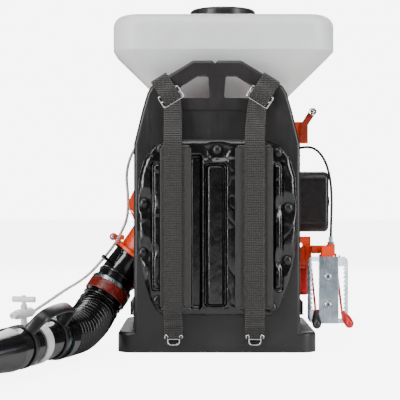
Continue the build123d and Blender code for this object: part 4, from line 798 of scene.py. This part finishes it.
LEAN, RISE = 0.845, 0.535                # sine and cosine of how far the handle's ends lean over
SLOPE = {"left": Vector((-LEAN, 0, -RISE)), "right": Vector((LEAN, 0, -RISE))}
WEB_THICK = 0.0018
SLIDER_AT = {"left": (-94, 523), "right": (87, 523)}
STRAP_ROUTE = {
    "left": [(-101.5, -158.2, 535), (-94, -160, 523), (-91, -163, 505), (-90, -171, 475),
             (-90, -187, 446), (-90, -195, 426), (-90, -194.4, 390), (-90, -194.4, 300),
             (-90, -194.4, 200), (-90, -194.4, 120), (-90, -194, 94), (-89.5, -182, 70),
             (-89, -164, 50), (-89, -161, 30)],
    "right": [(94.5, -158.2, 535), (87, -160, 523), (82, -163, 505), (78, -171, 475),
              (76, -187, 446), (75.5, -195, 426), (75, -194.4, 390), (75, -194.4, 300),
              (74.5, -194.4, 200), (74.5, -194.4, 120), (75, -194, 94), (76, -182, 70),
              (77, -164, 50), (77, -161, 30)],
}
WEB_WIDTH = {"left": 0.037, "right": 0.040}


def make_webbing(side):
    """The strap from its slider over the pad to the wire hook, and its loop round the handle."""
    way = 1 if side == "right" else -1
    line = smooth_line(side + "_strap_route", [mm(*p) for p in STRAP_ROUTE[side]], 16)
    level = Vector((way, 0, 0))
    strap = webbing_piece(f"{side}_strap_webbing", line,
                          lambda share: SLOPE[side].lerp(level, eased(0.03, 0.2, share)),
                          WEB_WIDTH[side])

    out = Vector((way * RISE, 0, LEAN))
    x, z = SLIDER_AT[side]
    slider = mm(x, 0, z)
    front, rear = PANEL_FACE - 0.0022, PANEL_FACE + PANEL_DEPTH + 0.0016
    turns = [(-0.0085, -0.1655), (-0.004, -0.1668), (0.006, -0.1672), (0.016, -0.1660),
             (0.027, front - 0.003), (0.036, front), (0.0455, front + 0.002),
             (0.0492, front + 0.009), (0.0495, (front + rear) / 2), (0.0485, rear - 0.004),
             (0.043, rear), (0.02, rear), (0.0, rear), (-0.0035, rear - 0.004),
             (-0.004, (front + rear) / 2), (-0.004, front + 0.004), (-0.006, front - 0.004),
             (-0.0095, -0.1600), (-0.0100, -0.1635), (-0.0085, -0.1655)]
    loop = [slider + out * reach + Vector((0, y, 0)) for reach, y in turns]
    band = webbing_piece(f"{side}_handle_loop", smooth_line(side + "_loop_route", loop, 16),
                         lambda share: SLOPE[side], WEB_WIDTH[side])
    return strap, band


def wire_loop(bm, points, radius, resolution=10):
    """Round wire along a smooth line through control points."""
    line = evenly(smooth_line("wire_route", points, resolution), 0.0012)
    round_tube(bm, line, radius, 12)


def make_slider(side):
    """A three-bar slide of bent wire that lies square to the webbing."""
    x, z = SLIDER_AT[side]
    way = 1 if side == "right" else -1
    across, out = SLOPE[side], Vector((way * RISE, 0, LEAN))
    middle = mm(x, FACE - 13.6, z)
    half, tall = WEB_WIDTH[side] / 2 + 0.0045, 0.0125

    def at(u, v, lift=0.0):
        return middle + across * u + out * v + Vector((0, -lift, 0))

    corners = [(0, tall), (half - 0.005, tall), (half, tall), (half, tall - 0.005), (half, 0),
               (half, 0.005 - tall), (half, -tall), (half - 0.005, -tall), (0, -tall),
               (0.005 - half, -tall), (-half, -tall), (-half, 0.005 - tall), (-half, 0),
               (-half, tall - 0.005), (-half, tall), (0.005 - half, tall), (0, tall)]
    bm = bmesh.new()
    wire_loop(bm, [at(u, v) for u, v in corners], 0.0017)
    wire_loop(bm, [at(-half, 0), at(-half * 0.6, 0.0004, 0.0012), at(0, 0, 0.0016),
                   at(half * 0.6, 0.0004, 0.0012), at(half, 0)], 0.0018)
    return piece(f"{side}_slider", bm, "bright_steel", "machine")


HOOK_WIRE = 0.0015                       # radius of the hook's wire


def make_hook(side):
    """The bent wire hook that holds the strap's lower end in the base."""
    x = STRAP_ROUTE[side][-1][0]
    y = FACE - 11
    bm = bmesh.new()
    half = [(17, -1, 31), (19, -4, 35), (16, -5, 38), (12, -3, 37), (12, 1, 31), (12, 3, 20), (7, 4, 17)]
    wire = ([(-u, v, z) for u, v, z in half] + [(0, 4, 17)] + half[::-1],
            [(-12, 1, 29), (0, 0, 29), (12, 1, 29)])
    for points in wire:
        wire_loop(bm, [mm(x + u, y + v, z) for u, v, z in points], HOOK_WIRE)
    return piece(f"{side}_wire_hook", bm, "bright_steel", "machine")


# ---- camera, lights and floor -----------------------------------------------------------------
def make_camera():
    """Straight on to the wearer's side, a little over the middle of the frame."""
    data = bpy.data.cameras.new("camera")
    data.lens = 109.8
    data.shift_y = -0.0085
    data.clip_end = 50
    camera = bpy.data.objects.new("camera", data)
    camera.location = (-0.035, -2.65, 0.320)
    camera.rotation_euler = (math.radians(90), 0, 0)
    bpy.context.scene.collection.objects.link(camera)
    bpy.context.scene.camera = camera


def soft_box(name, at, look_at, size, power):
    """A rectangular studio light that faces a point."""
    data = bpy.data.lights.new(name, "AREA")
    data.shape = "RECTANGLE"
    data.size, data.size_y = size
    data.energy = power
    light = bpy.data.objects.new(name, data)
    light.location = at
    light.rotation_euler = (Vector(look_at) - Vector(at)).to_track_quat("-Z", "Y").to_euler()
    bpy.context.scene.collection.objects.link(light)


FLOOR_GLOW, WORLD_GLOW = 6.0, 7.0        # how white the floor and the backdrop look to the camera
WORLD_LIGHT = 0.12                       # how much light the backdrop gives


def make_studio():
    """A pale floor under two tall side lights, a broad top light and one from behind."""
    bm = bmesh.new()
    bmesh.ops.create_grid(bm, x_segments=1, y_segments=1, size=14)
    bmesh.ops.translate(bm, vec=(0, 0, cad_low.z - 0.0005), verts=bm.verts)
    mesh = bpy.data.meshes.new("floor")
    bm.to_mesh(mesh)
    bm.free()
    floor = bpy.data.objects.new("floor", mesh)
    material, tree, shader = shader_of("white_paper", "#F4F4F4", 0.7)
    uneven(tree, shader, (pattern(tree, 0.5, 2), "#F2F2F2", "#F6F6F6"))
    path = add(tree, "ShaderNodeLightPath")
    glow = add(tree, "ShaderNodeMath", {"operation": "MULTIPLY"}, {
        0: path.outputs["Is Camera Ray"], 1: FLOOR_GLOW})
    shader.inputs["Emission Color"].default_value = linear("#FFFFFF")
    tree.links.new(glow.outputs[0], shader.inputs["Emission Strength"])
    mesh.materials.append(material)
    bpy.context.scene.collection.objects.link(floor)

    middle = (0, -0.1, 0.3)
    soft_box("left_light", (-2.0, -1.9, 1.1), middle, (0.7, 2.2), 74)
    soft_box("right_light", (2.2, -1.6, 1.2), middle, (0.6, 2.2), 64)
    soft_box("top_light", (-0.3, -0.9, 2.4), middle, (2.2, 1.4), 38)
    soft_box("back_light", (0.3, 2.4, 1.8), middle, (2.4, 1.2), 62)

    world = bpy.data.worlds.new("studio")
    world.use_nodes = True
    tree = world.node_tree
    plain = tree.nodes["Background"]
    plain.inputs["Color"].default_value = linear("#FFFFFF")
    plain.inputs["Strength"].default_value = WORLD_LIGHT
    seen = add(tree, "ShaderNodeBackground", None, {
        "Color": linear("#FFFFFF"), "Strength": WORLD_GLOW})
    path = add(tree, "ShaderNodeLightPath")
    mixed = add(tree, "ShaderNodeMixShader", None, {
        0: path.outputs["Is Camera Ray"], 1: plain.outputs[0], 2: seen.outputs[0]})
    tree.links.new(mixed.outputs[0], tree.nodes["World Output"].inputs["Surface"])
    bpy.context.scene.world = world


# ---- blowing pipe's grip, levers, screws and small fittings --------------------------------------
PIPE_START, PIPE_WAY = mm(-312, -282, 48), Vector((-0.29605, -0.95517, 0))
GRIP_RISE = Vector((0.95517 * math.sin(math.radians(38)), -0.29605 * math.sin(math.radians(38)),
                    math.cos(math.radians(38))))


def make_grip():
    """The arched grip of soft moulded plastic, on a clamping ring at each foot."""
    def at(along, rise):
        return PIPE_START + PIPE_WAY * along * MM + GRIP_RISE * rise * MM

    line = evenly(smooth_line("grip_route", [at(34, 35), at(35, 58), at(44, 79), at(78, 83), at(120, 82),
                                             at(158, 74), at(172, 54), at(176, 35)], 20), 0.003)
    across = PIPE_WAY.cross(GRIP_RISE)
    places = []
    for i, point in enumerate(line):
        along = (line[min(i + 1, len(line) - 1)] - line[max(i - 1, 0)]).normalized()
        places.append((point, across, along.cross(across)))

    def section(i, turn):
        return 0.0118 * squared(math.cos(turn), 0.7), 0.0048 * squared(math.sin(turn), 0.8)

    bm = bmesh.new()
    sweep(bm, places, section, 28)
    for start, length in ((30, 14), (164, 16)):
        lathe(bm, [(0.0371, 0.0), (0.0396, 0.0002), (0.0402, 0.0012), (0.0402, (length - 1.2) * MM),
                   (0.0396, (length - 0.2) * MM), (0.0371, length * MM), (0.0371, 0.0)],
              PIPE_START + PIPE_WAY * start * MM, PIPE_WAY, 64)
    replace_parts(piece("arched_grip", bm, "satin_black", "blow_pipe"), "hand_grip")


KNOB_PROFILE = [(0, 0.0), (0.0042, 0.0), (0.005, 0.0006), (0.0052, 0.004), (0.0064, 0.008),
                (0.0084, 0.015), (0.0094, 0.024), (0.0094, 0.032), (0.0086, 0.038), (0.006, 0.0415),
                (0.003, 0.0428), (0, 0.043)]


def make_knobs():
    """Vinyl knobs dipped over the levers' ends, swelling towards a rounded tip."""
    for name, node, at, way, finish, body, slot in (
            ("black_lever_knob", "gate_lever_knob", (203, -136.2, 85.0), (0, -0.7547, -0.6561),
             "satin_black", "gate_arm", "black_plastic"),
            ("red_lever_knob", "throttle_lever_knob", (257, -136.2, 85.0), (0.3219, -0.7145, -0.6212),
             "red_knob", "throttle_arm", "red_plastic")):
        bm = bmesh.new()
        lathe(bm, KNOB_PROFILE, mm(*at) + Vector(way) * 0.004, way, 40)
        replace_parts(piece(name, bm, finish, body), node)


SCREW_Z = (96, 154)                      # heights of the bracket's two screws


def cross(bm, at, size):
    """Two bars across each other, a little turned, as in the head of a cross-recess screw."""
    for turn in (0.6, 0.6 + math.pi / 2):
        bar = bmesh.ops.create_cube(bm, size=1)["verts"]
        bmesh.ops.scale(bm, vec=size, verts=bar)
        bmesh.ops.rotate(bm, cent=(0, 0, 0), matrix=Matrix.Rotation(turn, 3, "Y"), verts=bar)
        bmesh.ops.translate(bm, vec=at, verts=bar)


def make_bracket_screws():
    """Pan-headed cross-recess screws on plain washers, in the face of the lever bracket."""
    bm = bmesh.new()
    out = (0, -1, 0)
    for z in SCREW_Z:
        face = mm(229, -132.05, z)
        lathe(bm, [(0.003, 0.0), (0.0103, 0.0), (0.0106, 0.0004), (0.0106, 0.0011), (0.0102, 0.0015),
                   (0.003, 0.0015), (0.003, 0.0)], face, out, 48)
        lathe(bm, [(0, 0.0034), (0.0012, 0.0034), (0.0018, 0.0052), (0.004, 0.0051), (0.0062, 0.0044),
                   (0.0076, 0.003), (0.0079, 0.0017), (0.0, 0.0017)], face, out, 40)
        cross(bm, face + Vector((0, -0.0045, 0)), (0.0096, 0.0014, 0.0015))
    screws = piece("bracket_pan_screws", bm, "zinc", "machine", sharp=40)
    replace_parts(screws, "bracket_screws")
    # thin black crosses just over each head: painted shade in the cross recesses, drawn in the black
    # powder-coat finish
    bm = bmesh.new()
    for z in SCREW_Z:
        cross(bm, mm(229, -137.4, z), (0.0088, 0.0006, 0.0011))
    piece("screw_recess_shadows", bm, "powder_coat", "machine")


def make_rocker_bolt():
    """The ringed bolt through the upper end of the gate's rocker arm."""
    low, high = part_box("gate_rocker")
    at = Vector((high.x - 0.008, low.y, high.z - 0.008))
    bm = bmesh.new()
    lathe(bm, [(0.0052, -0.001), (0.0078, -0.0006), (0.0086, 0.0006), (0.0084, 0.002), (0.007, 0.0028),
               (0.0056, 0.0022), (0.0052, 0.0008), (0.0052, -0.001)], at, (0, -1, 0), 40)
    lathe(bm, [(0, 0.0044), (0.0026, 0.0042), (0.0042, 0.003), (0.0046, 0.0012), (0.0046, -0.001),
               (0, -0.001)], at, (0, -1, 0), 32)
    piece("rocker_bolt", bm, "bright_steel", "rocker", sharp=50)


def make_duct_boss():
    """The screw boss on the duct's flange, with its screw, and a wire eye on the frame's edge."""
    bm = bmesh.new()
    lathe(bm, [(0, 0.0), (0.0066, 0.0), (0.0074, 0.0008), (0.0076, 0.012), (0.008, 0.024), (0, 0.024)],
          mm(-219, -74, 235), (0, 1, 0), 36)
    rounded_box(bm, mm(-221, -66, 228), mm(-196, -54, 239), 0.002)
    piece("duct_screw_boss", bm, "orange", "machine", sharp=40)
    bm = bmesh.new()
    lathe(bm, [(0, 0.0026), (0.003, 0.0024), (0.0046, 0.0012), (0.005, 0.0), (0, 0.0)],
          mm(-219, -74, 235), (0, -1, 0), 32)
    piece("duct_screw", bm, "zinc", "machine")
    bm = bmesh.new()
    wire_loop(bm, [mm(-170, -124, 286), mm(-175, -121, 287), mm(-180, -119, 283), mm(-185, -119, 286),
                   mm(-185, -119, 291), mm(-180, -119, 293), mm(-176, -120, 290), mm(-172, -123, 286)],
              0.0009)
    piece("tube_guide_eye", bm, "bright_steel", "machine")


make_camera()
make_throttle_cable()
make_liquid_tube("upper_liquid_tube", "liquid_tube_upper", (
    (-99.64, -18.49, 461.67), (-146, -36, 452), (-178, -54, 420), (-192, -70, 370), (-186, -78, 320),
    (-187, -86, 274), (-201, -90, 243), (-215.81, -86.81, 216.03), (-235, -98, 193)))
make_liquid_tube("lower_liquid_tube", "liquid_tube_lower", (
    (-235, -98, 193), (-252.99, -108.50, 171.41), (-266, -140, 158), (-281, -190, 147),
    (-299, -240, 137), (-332.85, -308.42, 114), (-348.11, -351.21, 104)))
make_hose()
make_hose_cuff()
make_starter_rope()
make_back_pad()
make_pad_rivets()
make_pad_stitches()
shoulder_pads = [make_shoulder_pad(side) for side in ("left", "right")]
for pad in shoulder_pads:
    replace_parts(pad, "shoulder_pads")
for side in ("left", "right"):
    for strap in make_webbing(side):
        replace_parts(strap, "strap_webbing")
    for metal_part in (make_slider(side), make_hook(side)):
        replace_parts(metal_part, "strap_hardware")
make_grip()
make_knobs()
make_bracket_screws()
make_rocker_bolt()
make_duct_boss()
make_studio()
